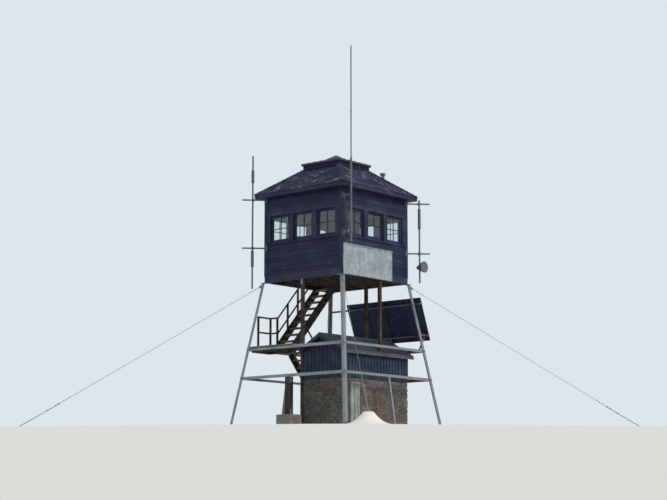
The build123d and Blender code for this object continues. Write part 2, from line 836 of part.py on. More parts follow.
# Frame of the array: two rails behind the panels, arms to the back legs, struts to the girt
rail_middle_x = (array_rail_left_x + array_right_x) / 2 - array_middle_x
rail_back = array_panel_thickness + array_rail_width / 2
with BuildPart() as array_frame:
    for along in (-array_rail_from_middle, array_rail_from_middle):
        with BuildSketch(array_plane.offset(-array_panel_thickness)):
            with Locations((rail_middle_x, along)):
                Rectangle(array_right_x - array_rail_left_x, array_rail_width)
        extrude(amount=-array_rail_width)
        rail_at = array_plane.from_local_coords(Vector(0, along, -rail_back))
        arm_low = rail_at.Z - array_arm_height / 2
        arm_start = leg_half(arm_low) + leg_width / 2
        for side in (-1, 1):
            with BuildSketch(Plane.XY.offset(arm_low)):
                with Locations((side * leg_half(rail_at.Z), (arm_start + rail_at.Y) / 2)):
                    Rectangle(array_arm_width, rail_at.Y - arm_start)
            extrude(amount=array_arm_height)
    strut_foot_y = flange_face(upper_girt_top) - girt_width / 2
    for x in array_strut_places:
        with BuildSketch(Plane.YZ.offset(x - array_strut_width / 2)):
            with BuildLine():
                Polyline(
                    (strut_foot_y - array_strut_width / 2, upper_girt_top),
                    (strut_foot_y + array_strut_width / 2, upper_girt_top),
                    (rail_at.Y + array_strut_width / 2, rail_at.Z),
                    (rail_at.Y - array_strut_width / 2, rail_at.Z),
                    close=True,
                )
            make_face()
        extrude(amount=array_strut_width)
save(array_frame, "array_frame")


# Upright tube off a corner of the cab, with thicker aerials on it and arms back to the corner
def corner_mast(side, low, top, arm_heights, aerials):
    stages = [(low, top, mast_radius)]
    stages += [(stage_low, stage_top, aerial_radius) for stage_low, stage_top in aerials]
    with BuildPart() as mast:
        for stage_low, stage_top, radius in stages:
            with BuildSketch(Plane.XY.offset(frame_height + stage_low)):
                with Locations((side * corner_mast_half, side * corner_mast_half)):
                    Circle(radius)
            extrude(amount=stage_top - stage_low)
        for height in arm_heights:
            with BuildSketch(Plane.XY.offset(frame_height + height - arm_width / 2)):
                with Locations((side * arm_end_half / 2, side * arm_end_half / 2)):
                    Rectangle(arm_end_half * 2**0.5, arm_width, rotation=45)
                Rectangle(2 * cab_half, 2 * cab_half, mode=Mode.SUBTRACT)
            extrude(amount=arm_width)
    return mast


corner_mast_half = cab_half + eave_overhang + mast_eave_clearance
arm_end_half = corner_mast_half + mast_arm_beyond
left_mast = corner_mast(-1, left_mast_low, left_mast_top, left_arm_heights, left_aerials)
save(left_mast, "left_mast")

plain_mast = corner_mast(1, right_mast_low, right_mast_top, right_arm_heights, right_aerials)
with BuildPart() as right_mast:
    add(plain_mast.part)
    horn_ends = ((-horn_back_reach, horn_back_radius), (horn_reach, horn_radius))
    for reach, radius in horn_ends:
        with BuildSketch(Plane.YZ.offset(corner_mast_half + reach)):
            with Locations((corner_mast_half, frame_height + horn_rise)):
                Circle(radius)
    loft()
save(right_mast, "right_mast")

# Main mast, off the right wall by its front corner
main_mast_reach = eave_overhang + main_mast_clearance
with BuildPart() as main_mast:
    mast_x = cab_half + main_mast_reach
    mast_y = main_mast_inset - cab_half
    stages = (
        (main_mast_low, main_mast_joint, main_mast_radius),
        (main_mast_joint, main_mast_top, whip_radius),
    )
    for stage_low, stage_top, radius in stages:
        with BuildSketch(Plane.XY.offset(frame_height + stage_low)):
            with Locations((mast_x, mast_y)):
                Circle(radius)
        extrude(amount=stage_top - stage_low)
    for height in main_arm_heights:
        with BuildSketch(Plane.XY.offset(frame_height + height - arm_width / 2)):
            with Locations(((cab_half + mast_x) / 2, mast_y)):
                Rectangle(main_mast_reach, arm_width)
        extrude(amount=arm_width)
save(main_mast, "main_mast")

# Guys: a cable, then a turnbuckle and rod down to a plate on the ground
with BuildPart() as guys:
    for side_x, side_y in corners.values():
        with BuildSketch(guy_plane(side_x, side_y)):
            Circle(guy_radius)
        extrude(amount=cable_length)
save(guys, "guys")

with BuildPart() as guy_anchors:
    for side_x, side_y in corners.values():
        with BuildSketch(guy_plane(side_x, side_y).offset(cable_length)):
            Circle(turnbuckle_radius)
        extrude(amount=turnbuckle_length)
        with BuildSketch(guy_plane(side_x, side_y).offset(cable_length + turnbuckle_length)):
            Circle(anchor_rod_radius)
        extrude(amount=anchor_rod_length)
        with BuildSketch(Plane.XY):
            with Locations((side_x * guy_foot_half, side_y * guy_foot_half)):
                Rectangle(anchor_plate_width, anchor_plate_width)
        extrude(amount=anchor_plate_thickness)
save(guy_anchors, "guy_anchors")
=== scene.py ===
import bpy
import bmesh
import random
from math import cos, exp, hypot, pi, radians, sin, tan
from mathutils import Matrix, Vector


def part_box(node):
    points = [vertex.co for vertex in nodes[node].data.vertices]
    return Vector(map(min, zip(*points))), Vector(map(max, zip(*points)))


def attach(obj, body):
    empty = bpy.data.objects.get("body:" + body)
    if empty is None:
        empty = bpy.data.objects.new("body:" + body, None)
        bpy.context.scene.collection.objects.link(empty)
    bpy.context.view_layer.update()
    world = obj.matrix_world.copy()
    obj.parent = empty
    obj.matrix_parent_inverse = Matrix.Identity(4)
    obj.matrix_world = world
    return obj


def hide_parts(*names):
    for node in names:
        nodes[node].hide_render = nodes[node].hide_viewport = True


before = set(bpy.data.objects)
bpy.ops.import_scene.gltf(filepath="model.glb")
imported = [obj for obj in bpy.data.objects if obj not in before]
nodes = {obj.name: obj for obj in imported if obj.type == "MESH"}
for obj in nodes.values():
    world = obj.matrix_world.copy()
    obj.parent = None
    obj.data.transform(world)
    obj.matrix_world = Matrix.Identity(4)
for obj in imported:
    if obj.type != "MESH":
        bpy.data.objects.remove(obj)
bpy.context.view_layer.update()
dice = random.Random(11)
print("frame loaded,", len(nodes), "nodes")

# The tower's own sizes, in metres, as the frame has them
tower = {
    "underside": 4.43, "cabHalf": 1.525, "footHalf": 2.225, "headHalf": 1.535, "legWidth": 0.1,
    "footPlateTop": 0.016, "girtTops": (1.59, 2.45), "deckLow": 2.45, "deckTop": 2.49,
    "sill": 5.61, "head": 6.44, "windowWidth": 0.74, "windowPitch": 0.92,
    "eaveHalf": 1.76, "eaveZ": 7.12, "pitch": 0.75, "crownHalf": 0.7,
    "shedWidth": 1.525, "shedHalf": 1.525, "stoneTop": 1.45, "stoneWall": 0.22,
    "guyHead": (1.640, 4.30), "guyFoot": (6.7, 0.015), "turnbuckle": 0.52, "anchorRod": 0.95,
}
cabHalf, crownHalf, eaveHalf = tower["cabHalf"], tower["crownHalf"], tower["eaveHalf"]
corners = [(sideX, sideY) for sideX in (-1, 1) for sideY in (-1, 1)]


def legHalf(z):
    return tower["footHalf"] + (tower["headHalf"] - tower["footHalf"]) * z / tower["underside"]


def roofTop(half):
    return tower["eaveZ"] + (eaveHalf - half) * tower["pitch"]


def hexColour(text):
    # sRGB hex to the linear values that the shaders work in
    shares = [int(text[place:place + 2], 16) / 255 for place in (1, 3, 5)]
    linear = [share / 12.92 if share <= 0.04045 else ((share + 0.055) / 1.055) ** 2.4 for share in shares]
    return (*linear, 1.0)


def addNode(tree, kind, settings=None, links=None):
    # one node, its values and properties, and what feeds it
    node = tree.nodes.new("ShaderNode" + kind)
    for key, value in (settings or {}).items():
        if isinstance(key, str) and hasattr(node, key):
            setattr(node, key, value)
        else:
            node.inputs[key].default_value = value
    for key, source in (links or {}).items():
        tree.links.new(source, node.inputs[key])
    return node


def newFinish(name, values):
    material = bpy.data.materials.new(name)
    material.use_nodes = True
    shader = material.node_tree.nodes["Principled BSDF"]
    for key, value in {"Roughness": 0.6, **values}.items():
        shader.inputs[key].default_value = value
    return material, material.node_tree, shader


def spread(tree, source, low, high, toLow=0.0, toHigh=1.0):
    # stretches a pattern's middle range to the values wanted
    ranges = {"From Min": low, "From Max": high, "To Min": toLow, "To Max": toHigh}
    return addNode(tree, "MapRange", ranges, {"Value": source}).outputs["Result"]


def blendTo(tree, amount, first, second):
    # first and second are a hex colour or another node's output
    settings, links = {}, {"Fac": amount}
    for key, value in (("Color1", first), ("Color2", second)):
        if isinstance(value, str):
            settings[key] = hexColour(value)
        else:
            links[key] = value
    return addNode(tree, "MixRGB", settings, links).outputs["Color"]


def overlay(tree, under, over, source, low, high, most=1.0):
    # lays a colour over another as a pattern runs from low to high
    return blendTo(tree, spread(tree, source, low, high, 0, most), under, over)


def toned(tree, colour):
    # each board, shingle or stone carries its own small shift of value, and a paler one is greyer
    tone = addNode(tree, "Attribute", {"attribute_name": "tone"}).outputs["Fac"]
    links = {"Color": colour}
    for key, share in (("Value", 0.55), ("Saturation", -0.4)):
        shift = addNode(tree, "Math", {"operation": "MULTIPLY_ADD", 1: share, 2: 1.0}, {0: tone})
        links[key] = shift.outputs[0]
    return addNode(tree, "HueSaturation", {}, links).outputs["Color"]


def pattern(tree, sizes, kind="TexNoise", place="Object", output="Fac", **settings):
    # sizes are the pattern's real spacing in millimetres along x, y and z
    if place == "Object":
        source = addNode(tree, "TexCoord").outputs["Object"]
    else:
        source = addNode(tree, "UVMap", {"uv_map": place}).outputs["UV"]
    scale = [1000 / size for size in sizes]
    mapped = addNode(tree, "Mapping", {"Scale": scale}, {"Vector": source}).outputs["Vector"]
    return addNode(tree, kind, {"Scale": 1.0, **settings}, {"Vector": mapped}).outputs[output]


def finishSurface(tree, shader, colour, rough, bumps):
    # rough is (pattern, smooth end, rough end); bumps are (pattern, depth in millimetres)
    tree.links.new(colour, shader.inputs["Base Color"])
    tree.links.new(spread(tree, rough[0], 0.3, 0.7, *rough[1:]), shader.inputs["Roughness"])
    links = {}
    for height, depth in bumps:
        bump = addNode(tree, "Bump", {"Distance": depth / 1000, "Strength": 0.8}, {**links, "Height": height})
        links = {"Normal": bump.outputs["Normal"]}
    tree.links.new(links["Normal"], shader.inputs["Normal"])


# Timber: base, dark and worn colours, grain width, grain length and relief in mm, roughness range.
# Growth rings are 2 to 3 mm apart, too fine to show, so the grain is drawn about four times as coarse.
timberLooks = {
    # sawn fir, oiled and weathered: brown-black, with paler streaks where rain reaches it
    "timberDark": ("#3a322c", "#231d19", "#5b524a", 9, 420, 1.2, (0.62, 0.86)),
    # sawn planks bleached by sun and boots: silver grey and open grained
    "timberGrey": ("#6d665e", "#474139", "#8d877e", 8, 380, 1.4, (0.7, 0.92)),
    # lap boards in brushed navy oil paint gone chalky: dull, with the grain just showing through
    "claddingPaint": ("#1a2140", "#11162b", "#2b3350", 12, 500, 0.7, (0.5, 0.78)),
    # planed trim in the same paint: a little smoother and paler
    "trimPaint": ("#1f2642", "#151a2e", "#343c56", 10, 500, 0.5, (0.45, 0.7)),
    # rough-sawn shed boards in faded blue-grey stain
    "shedPaint": ("#243048", "#182032", "#3d4a63", 12, 450, 0.8, (0.52, 0.8)),
    # planed boards in faded grey-green paint: pale and matt
    "palePaint": ("#84908f", "#69736f", "#98a3a0", 11, 480, 0.6, (0.55, 0.8)),
    # the shed's fascia in mid grey paint
    "eavePaint": ("#5c646e", "#474e58", "#737b83", 11, 480, 0.6, (0.5, 0.75)),
    # split cedar, stained navy: deep grain, no shine, and some shingles painted paler as sun glints
    "cedarShingle": ("#212843", "#151a2e", "#424c6a", 6, 260, 1.5, (0.72, 0.94)),
    # planed fir with old varnish indoors: warm, with a soft gloss; its colour is also darkened as painted
    # shade inside the cab
    "firBoard": ("#54422e", "#3a2b1c", "#665440", 14, 600, 0.4, (0.4, 0.6)),
}


def timberFinish(name, look, along="grain"):
    # along is x, y or z in a frame node, or "grain" where each board brings its own direction
    base, dark, worn, width, length, relief, rough = look
    material, tree, shader = newFinish(name, {"IOR": 1.5, "Specular IOR Level": 0.25})    # dry weathered face
    if along == "grain":
        grain = pattern(tree, (length, width, width), place="grain", Detail=6.0, Roughness=0.6)
    else:
        sizes = [length if axis == along else width for axis in "xyz"]
        grain = pattern(tree, sizes, Detail=6.0, Roughness=0.6)
    patches = pattern(tree, (420, 420, 300), Detail=4.0)
    drips = pattern(tree, (60, 60, 900), Detail=3.0)    # rain streaks run down the face
    colour = overlay(tree, base, dark, grain, 0.38, 0.66)
    colour = overlay(tree, colour, worn, patches, 0.45, 0.75, 0.8)
    colour = overlay(tree, colour, dark, drips, 0.55, 0.75, 0.35)
    finishSurface(tree, shader, toned(tree, colour), (grain, *rough), [(grain, relief)])
    return material


# Metal: base, second and stain colours, metallic, patch size in mm, roughness range, relief in mm
metalLooks = {
    # hot-dip zinc, weathered: pale blue-grey in 22 mm spangles, some brown runs
    "galvanisedSteel": ("#888e92", "#696f73", "#625a51", 0.45, 22, (0.38, 0.6), 0.15),
    # hot-dip zinc on fasteners: brighter, with finer spangle
    "galvanisedBolt": ("#8f9496", "#6f7476", "#6b5a4b", 0.7, 9, (0.35, 0.55), 0.1),
    # hot-dip zinc darkened as painted shade for the frame behind the panels: dark, with hardly any gloss
    "dullZinc": ("#5b6169", "#484d55", "#4c463f", 0.3, 30, (0.5, 0.7), 0.15),
    # flat steel sheet in faded pale grey paint: chalky patches and streaks
    "facedPanel": ("#98a4ac", "#69767f", "#686764", 0.0, 130, (0.5, 0.8), 0.8),
    # folded sheet in navy enamel: smooth, with a low gloss
    "crownPaint": ("#222941", "#181d30", "#3c4256", 0.0, 160, (0.35, 0.6), 0.4),
    # ribbed roof sheet in slate paint, dusty
    "shedSheet": ("#2f3645", "#222834", "#4f5054", 0.1, 180, (0.4, 0.65), 0.4),
    # steel tube in mid grey paint
    "mastPaint": ("#5c6168", "#484c53", "#6e6558", 0.2, 40, (0.4, 0.62), 0.15),
    # extruded aluminium, black anodised: an even dark satin
    "darkAnodised": ("#23262d", "#1a1c22", "#34373d", 0.35, 60, (0.4, 0.55), 0.05),
    # zinc-coated strand wire: small bright facets
    "strandSteel": ("#8b9092", "#6d7274", "#6a5e52", 0.75, 14, (0.35, 0.55), 0.08),
}


def metalFinish(name, look):
    base, second, stain, metallic, size, rough, relief = look
    material, tree, shader = newFinish(name, {"Metallic": metallic})
    # zinc sets in flat crystals; a painted face only has soft patches
    kind, low, high = ("TexVoronoi", 0, 1) if metallic > 0.4 else ("TexNoise", 0.35, 0.65)
    crystals = pattern(tree, (size, size, size), kind, output="Color")
    cloud = pattern(tree, (380, 380, 520), Detail=5.0, Roughness=0.62)
    runs = pattern(tree, (34, 34, 800), Detail=4.0)     # stains run down from edges and bolts
    fine = pattern(tree, (6, 6, 6), Detail=3.0)    # orange peel of 1 to 2 mm, drawn coarser so that it shows
    facet = addNode(tree, "SeparateColor", {}, {"Color": crystals}).outputs["Red"]
    colour = overlay(tree, base, second, facet, low, high, 0.55)
    colour = overlay(tree, colour, second, cloud, 0.45, 0.7, 0.8)
    colour = overlay(tree, colour, stain, runs, 0.58, 0.78, 0.6)
    finishSurface(tree, shader, toned(tree, colour), (cloud, *rough), [(cloud, relief * 4), (fine, relief)])
    return material


# Stone: base, second, warm and lichen colours, where lichen starts, grit and relief in mm.
# Grains of 1 to 2 mm wouldn't show, so the grit is drawn about four times as coarse.
stoneLooks = {
    # split field stone: matt grey-brown, some red, with pale green lichen in blotches
    "rubbleStone": ("#57534f", "#3d3c3c", "#63443a", "#737868", 0.56, 7, 2.2),
    # lime mortar, trowelled: sandy and a little paler
    "limeMortar": ("#69655e", "#4f4c46", "#5f574c", "#6c7062", 0.62, 4, 1.5),
    # rough cast concrete: pale grey, pitted
    "castConcrete": ("#7b7973", "#62605b", "#7d7468", "#858976", 0.6, 5, 1.2),
}


def stoneFinish(name, look):
    base, second, warm, lichen, start, grit, relief = look
    material, tree, shader = newFinish(name, {"IOR": 1.5})
    cloud = pattern(tree, (150, 150, 110), Detail=6.0, Roughness=0.65)
    sand = pattern(tree, (grit, grit, grit), Detail=4.0, Roughness=0.7)
    blotch = pattern(tree, (70, 70, 70), Detail=7.0, Roughness=0.72)
    colour = overlay(tree, base, second, cloud, 0.38, 0.64)
    redness = addNode(tree, "Attribute", {"attribute_name": "warm"}).outputs["Fac"]
    colour = toned(tree, blendTo(tree, redness, colour, warm))
    colour = overlay(tree, colour, lichen, blotch, start, start + 0.05, 0.85)
    colour = overlay(tree, colour, second, sand, 0.5, 0.75, 0.4)
    finishSurface(tree, shader, colour, (sand, 0.78, 0.96), [(cloud, relief * 3), (sand, relief)])
    return material


def paneFinish(name):
    # float glass: clear and smooth, with a little dust that dulls the reflection in patches
    values = {"IOR": 1.5, "Transmission Weight": 1.0, "Base Color": hexColour("#eef5f5")}
    material, tree, shader = newFinish(name, values)
    dust = pattern(tree, (180, 180, 260), Detail=5.0)
    tree.links.new(spread(tree, dust, 0.5, 0.8, 0.0, 0.09), shader.inputs["Roughness"])
    return material


# Panel laminates: base, second and line colours, roughness range, gloss
laminateLooks = {
    # silicon cells under glass: dark blue, smooth, with the silver lines that gather current
    "solarCell": ("#161b33", "#1f2745", "#8d939c", (0.12, 0.4), 0.5),
    # polyester back sheet: even and satin
    "backSheet": ("#202a47", "#2c3858", None, (0.55, 0.8), 0.2),
}


def laminateFinish(name, look):
    base, second, lines, rough, gloss = look
    material, tree, shader = newFinish(name, {"IOR": 1.5, "Specular IOR Level": gloss})
    cells = pattern(tree, (90, 90, 90), Detail=3.0)
    colour = overlay(tree, base, second, cells, 0.35, 0.65)
    if lines:    # real lines are 2 mm apart; the wave repeats each third of 52 mm, coarse enough to show
        bus = pattern(tree, (52, 52, 52), "TexWave", place="grain", bands_direction="Y", wave_profile="SIN")
        colour = overlay(tree, colour, lines, bus, 0.985, 1.0, 0.8)
    colour = toned(tree, colour)
    dust = pattern(tree, (300, 300, 200), Detail=5.0)
    finishSurface(tree, shader, colour, (dust, *rough), [(dust, 0.05)])
    return material


finishes = {"windowPane": paneFinish("windowPane")}
for looks, makeFinish in ((timberLooks, timberFinish), (metalLooks, metalFinish), (stoneLooks, stoneFinish),
                          (laminateLooks, laminateFinish)):
    finishes |= {name: makeFinish(name, look) for name, look in looks.items()}

# What the frame's own nodes wear where their shape is right as it is; the letter is the way their grain runs
nodeFinishes = (
    ("galvanisedSteel", "", "leg_front_left leg_front_right leg_back_right leg_back_left foot_posts"),
    ("galvanisedSteel", "", "front_girts back_girts left_girts right_girts"),
    # the frame behind the panels wears zinc darkened as painted shade
    ("dullZinc", "", "array_frame"),
    ("castConcrete", "", "front_foot_block"),
    ("timberDark", "z", "front_foot_post cab_posts landing_rail"),
    ("timberDark", "y", "floor_frame upper_handrail lower_handrail upper_stringers lower_stringers"),
    ("timberDark", "x", "landing_frame"),
    # the cab's inside wears fir darkened as painted shade
    ("firBoard", "x", "front_wall back_wall ceiling"),
    ("firBoard", "y", "left_wall right_wall"),
    ("trimPaint", "x", "fascia soffit roof"),
    ("crownPaint", "", "crown_walls crown_roof ventilator"),
    ("mastPaint", "", "vent_pipe left_mast right_mast main_mast"),
    ("facedPanel", "", "right_wall_panel"),
    ("windowPane", "", "window_glass"),
    ("shedPaint", "y", "shed_boards"),
    ("shedSheet", "", "shed_roof"),
    ("eavePaint", "y", "shed_fascia"),
    ("palePaint", "z", "shed_pier"),
)
for finish, along, names in nodeFinishes:
    worn = timberFinish(finish + along.upper(), timberLooks[finish], along) if along else finishes[finish]
    for name in names.split():
        mesh = nodes[name].data
        mesh.materials.clear()
        mesh.materials.append(worn)
print("finishes made")


def newBuild():
    # a mesh under way, whose parts carry their own tone, warmth and grain
    build = bmesh.new()
    build.verts.layers.float.new("tone")
    build.verts.layers.float.new("warm")
    build.loops.layers.uv.new("grain")
    return build


def rectangle(x0, x1, y0, y1):
    return ((x0, y0), (x1, y0), (x1, y1), (x0, y1))


def cutSquare(a, b, cut):
    # a rectangle of half sizes a and b with its corners cut off
    return ((-a + cut, -b), (a - cut, -b), (a, -b + cut), (a, b - cut),
            (a - cut, b), (-a + cut, b), (-a, b - cut), (-a, -b + cut))


def addPrism(build, outline, push, grain=(1, 0, 0), tone=0.0, finish=0, smooth=False, warm=0.0):
    # a closed solid between an outline and the same outline pushed; push may differ from corner to corner
    toneLayer, warmLayer = (build.verts.layers.float[name] for name in ("tone", "warm"))
    uvLayer = build.loops.layers.uv["grain"]
    pushes = push if isinstance(push, list) else [push] * len(outline)
    low = [build.verts.new(Vector(point)) for point in outline]
    high = [build.verts.new(Vector(point) + Vector(step)) for point, step in zip(outline, pushes)]
    for vert in low + high:
        vert[toneLayer] = tone
        vert[warmLayer] = warm
    count = len(low)
    ends = [build.faces.new(low[::-1]), build.faces.new(high)]
    pairs = [(i, (i + 1) % count) for i in range(count)]
    sides = [build.faces.new((low[i], low[k], high[k], high[i])) for i, k in pairs]
    along = Vector(grain).normalized()
    for face in ends + sides:
        face.material_index = finish
        face.smooth = smooth and face in sides
        face.normal_update()
        across = along.cross(face.normal)
        if across.length < 0.2:    # an end of the grain
            across = along.orthogonal()
        across.normalize()
        for loop in face.loops:    # each board cuts another part of the grain
            spot = loop.vert.co
            loop[uvLayer].uv = (spot.dot(along) + tone * 7.3, spot.dot(across) + tone * 3.1)


def addBoard(build, start, end, grain=None, **more):
    # an upright board between two opposite corners; its grain follows its longest side
    low, high = [min(pair) for pair in zip(start, end)], [max(pair) for pair in zip(start, end)]
    size = [b - a for a, b in zip(low, high)]
    grain = grain or [1 if i == size.index(max(size)) else 0 for i in range(3)]
    outline = [(x, y, low[2]) for x, y in rectangle(low[0], high[0], low[1], high[1])]
    addPrism(build, outline, (0, 0, size[2]), grain, **more)


def ringAt(centre, side, up, radius, count):
    turns = [2 * pi * i / count for i in range(count)]
    return [centre + side * radius * cos(t) + up * radius * sin(t) for t in turns]


def ringPoints(centre, axis, radius, count):
    axis = Vector(axis).normalized()
    side = axis.orthogonal().normalized()
    return ringAt(Vector(centre), side, axis.cross(side), radius, count)


def addRod(build, start, end, radius, endRadius=None, sides=12, **more):
    axis = Vector(end) - Vector(start)
    near = ringPoints(start, axis, radius, sides)
    far = ringPoints(end, axis, radius if endRadius is None else endRadius, sides)
    addPrism(build, near, [b - a for a, b in zip(near, far)], axis, smooth=True, **more)


def addBolt(build, point, outward, width, **more):
    outward, at = Vector(outward).normalized(), Vector(point)
    # washer, hexagon head and the end of the thread, as shares of the bolt's width
    for radius, depth, sides in ((0.95, 0.14, 12), (0.58, 0.42, 6), (0.3, 0.3, 8)):
        step = outward * width * depth
        addPrism(build, ringPoints(at, outward, width * radius, sides), step, outward, **more)
        at = at + step


def addPath(build, points, radius, sides=8):
    # a round bar bent through the points, in one piece
    points = [Vector(point) for point in points]
    rings = []
    side = (points[1] - points[0]).orthogonal().normalized()
    for i, point in enumerate(points):
        axis = (points[min(i + 1, len(points) - 1)] - points[max(i - 1, 0)]).normalized()
        side = (side - axis * side.dot(axis)).normalized()
        rings.append([build.verts.new(spot) for spot in ringAt(point, side, axis.cross(side), radius, sides)])
    for near, far in zip(rings, rings[1:]):
        for k in range(sides):
            after = (k + 1) % sides
            build.faces.new((near[k], near[after], far[after], far[k])).smooth = True
    for ring in (rings[0][::-1], rings[-1]):
        build.faces.new(ring)


def addBow(build, centre, axis, across, radius, bar, sweep=pi, sides=8):
    # a bent bar, such as a shackle or a U-bolt; axis is out of its plane
    axis, across = Vector(axis).normalized(), Vector(across).normalized()
    up = axis.cross(across)
    steps = [sweep * i / 10 for i in range(11)]
    points = [Vector(centre) + across * radius * cos(t) + up * radius * sin(t) for t in steps]
    addPath(build, points, bar, sides)


def around(turn, point):
    # turns a point about the middle by quarter turns, the front face first
    x, y, z = point
    for _ in range(turn):
        x, y = -y, x
    return (x, y, z)


def aroundAll(turn, points):
    return [around(turn, point) for point in points]


def atCorner(corner, x, y, z):
    return (corner[0] * x, corner[1] * y, z)


def addRun(build, turn, start, end, section, **more):
    # a length along one side of the tower, with a section of (y, z) points
    along = Vector(around(turn, (1, 0, 0)))
    outline = aroundAll(turn, [(start, y, z) for y, z in section])
    addPrism(build, outline, along * (end - start), along, **more)


def addFlat(build, turn, xs, ys, zs, upright=False, **more):
    # a board on one side of the tower, with level or upright grain
    outline = aroundAll(turn, [(x, y, zs[0]) for x, y in rectangle(*xs, *ys)])
    addPrism(build, outline, (0, 0, zs[1] - zs[0]), around(turn, (0, 0, 1) if upright else (1, 0, 0)), **more)


def wobble(size):
    return dice.uniform(-size, size)


def makePiece(name, build, finishNames, bevel=0.0, replaced=None, segments=1):
    bmesh.ops.recalc_face_normals(build, faces=build.faces)
    mesh = bpy.data.meshes.new(name)
    build.to_mesh(mesh)
    build.free()
    for finish in finishNames.split():
        mesh.materials.append(finishes[finish])
    piece = bpy.data.objects.new(name, mesh)
    bpy.context.scene.collection.objects.link(piece)
    if bevel:
        rounding = piece.modifiers.new("eased edges", "BEVEL")
        rounding.width = bevel
        rounding.segments = segments
        rounding.limit_method = "ANGLE"
        rounding.angle_limit = radians(35)
    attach(piece, "root")
    if replaced:
        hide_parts(replaced)
    print("made", name, len(mesh.polygons), "faces")
    return piece


# Steelwork: bolts where the girts cross the legs, and at every foot plate
steelwork = {"girtBolt": 0.036, "boltPairs": (-0.035, 0.025), "girtHalf": 0.045, "footBolt": 0.046,
             "footReach": 0.085}
build = newBuild()
for corner in corners:
    for top in tower["girtTops"]:
        z = top - steelwork["girtHalf"]
        face = legHalf(z) + tower["legWidth"] / 2
        for offset in steelwork["boltPairs"]:
            along = legHalf(z) + offset
            for spot, outward in (((along, face), (0, 1)), ((face, along), (1, 0))):
                addBolt(build, atCorner(corner, *spot, z + wobble(0.004)), atCorner(corner, *outward, 0),
                        steelwork["girtBolt"])
    for outX, outY in corners:
        if corner[0] * outX < 0 or corner[1] * outY < 0:    # none at the plate's outer corner
            x, y, z = atCorner(corner, tower["footHalf"], tower["footHalf"], tower["footPlateTop"])
            reach = steelwork["footReach"]
            addBolt(build, (x + outX * reach, y + outY * reach, z), (0, 0, 1), steelwork["footBolt"])
makePiece("girtAndFootBolts", build, "galvanisedBolt")

# Stiffener ribs where the legs stand on their foot plates
ribs = {"height": 0.12, "reach": 0.06, "thickness": 0.01, "legHalf": 0.045, "apart": 0.035}
build = newBuild()
inner, outer = (tower["footHalf"] + side * ribs["legHalf"] for side in (-1, 1))
low = tower["footPlateTop"]
for corner in corners:
    for along in (inner, inner + ribs["apart"]):
        for order in (1, -1):
            section = ((outer, low), (outer + ribs["reach"], low), (outer, low + ribs["height"]))
            rib = [atCorner(corner, *(along, out)[::order], z) for out, z in section]
            addPrism(build, rib, atCorner(corner, *(ribs["thickness"], 0)[::order], 0), (0, 0, 1))
makePiece("footRibs", build, "galvanisedSteel", bevel=0.002)

# Brackets that hold the timber posts at head and foot
brackets = {"thickness": 0.006, "height": 0.16, "bolt": 0.026, "boltRises": (0.04, 0.12), "inset": 0.03,
            "boltInset": 0.06, "cabPostX": (-0.08, -0.01)}
build = newBuild()
postLow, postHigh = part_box("front_foot_post")
for z in (postLow.z, postHigh.z - brackets["height"]):
    for x, outward in ((postLow.x, -1), (postHigh.x, 1)):
        edge = x + outward * brackets["thickness"]
        front, back = postLow.y + brackets["inset"], postHigh.y - brackets["inset"]
        addBoard(build, (x, front, z), (edge, back, z + brackets["height"]))
        for y in (postLow.y + brackets["boltInset"], postHigh.y - brackets["boltInset"]):
            for rise in brackets["boltRises"]:
                addBolt(build, (edge, y, z + rise), (outward, 0, 0), brackets["bolt"])
for outward in (-1, 1):
    left, right = brackets["cabPostX"]
    for z in (0.0, tower["underside"] - brackets["height"]):
        edge = outward * (cabHalf + brackets["thickness"])
        addBoard(build, (left, outward * cabHalf, z), (right, edge, z + brackets["height"]))
        for rise in brackets["boltRises"]:
            addBolt(build, ((left + right) / 2, edge, z + rise), (0, outward, 0), brackets["bolt"])
makePiece("postBrackets", build, "galvanisedBolt", bevel=0.001)
print("steelwork done")

# Cab floor of planks, open at the hatch, seen from below between the joists
planks = {"width": 0.14, "gap": 0.003, "low": 4.61, "high": 4.65, "hatchX": (-1.435, -0.73),
          "hatchY": (-0.76, 0.8)}
build = newBuild()
(hatchLeft, hatchRight), (hatchFront, hatchBack) = planks["hatchX"], planks["hatchY"]
y = -cabHalf
while y < cabHalf - 0.02:
    back = min(y + planks["width"], cabHalf)
    tone = wobble(0.5)
    inHatch = back > hatchFront + 0.001 and y < hatchBack - 0.001
    if inHatch and y < hatchFront:
        back, inHatch = hatchFront, False
    elif inHatch:
        back = min(back, hatchBack)
    for left, right in ((-cabHalf, hatchLeft), (hatchRight, cabHalf)) if inHatch else ((-cabHalf, cabHalf),):
        start, end = (left, y, planks["low"]), (right, back - planks["gap"], planks["high"])
        addBoard(build, start, end, (1, 0, 0), tone=tone)
    y = back
makePiece("floorPlanks", build, "timberDark", bevel=0.002, replaced="cab_floor")

# Lap siding, corner boards and the board over the floor's rim, on all four walls
siding = {"exposure": 0.135, "lap": 0.02, "butt": 0.018, "top": 0.005, "joint": 0.002, "longest": 1.6,
          "cornerBoard": 0.11, "trim": 0.022, "low": 4.62, "wallHigh": 7.0, "headBoard": 0.1,
          "sillBoard": 0.05, "panelStart": -1.502, "panelEnd": 0.79, "panelLow": 4.449, "panelTop": 5.36}


def addLaps(build, turn, start, end, low, high):
    # courses of lapped boards from low to high; start and end are measured along the wall
    z = low
    while z < high - siding["lap"]:
        top = min(z + siding["exposure"] + siding["lap"], high)
        joints = [start, end]
        if end - start > siding["longest"]:
            joints.insert(1, start + (end - start) * dice.uniform(0.3, 0.7))
        for left, right in zip(joints, joints[1:]):
            section = ((-cabHalf, z), (-cabHalf - siding["butt"], z), (-cabHalf - siding["top"], top),
                       (-cabHalf, top))
            addRun(build, turn, left, right - siding["joint"], section, tone=wobble(0.35))
        z += siding["exposure"]


def addTrim(build, turn, start, end, low, high, depth=siding["trim"]):
    # a flat board on a wall's face
    upright = end - start <= high - low
    addFlat(build, turn, (start, end), (-cabHalf, -cabHalf - depth), (low, high), upright, tone=wobble(0.3))


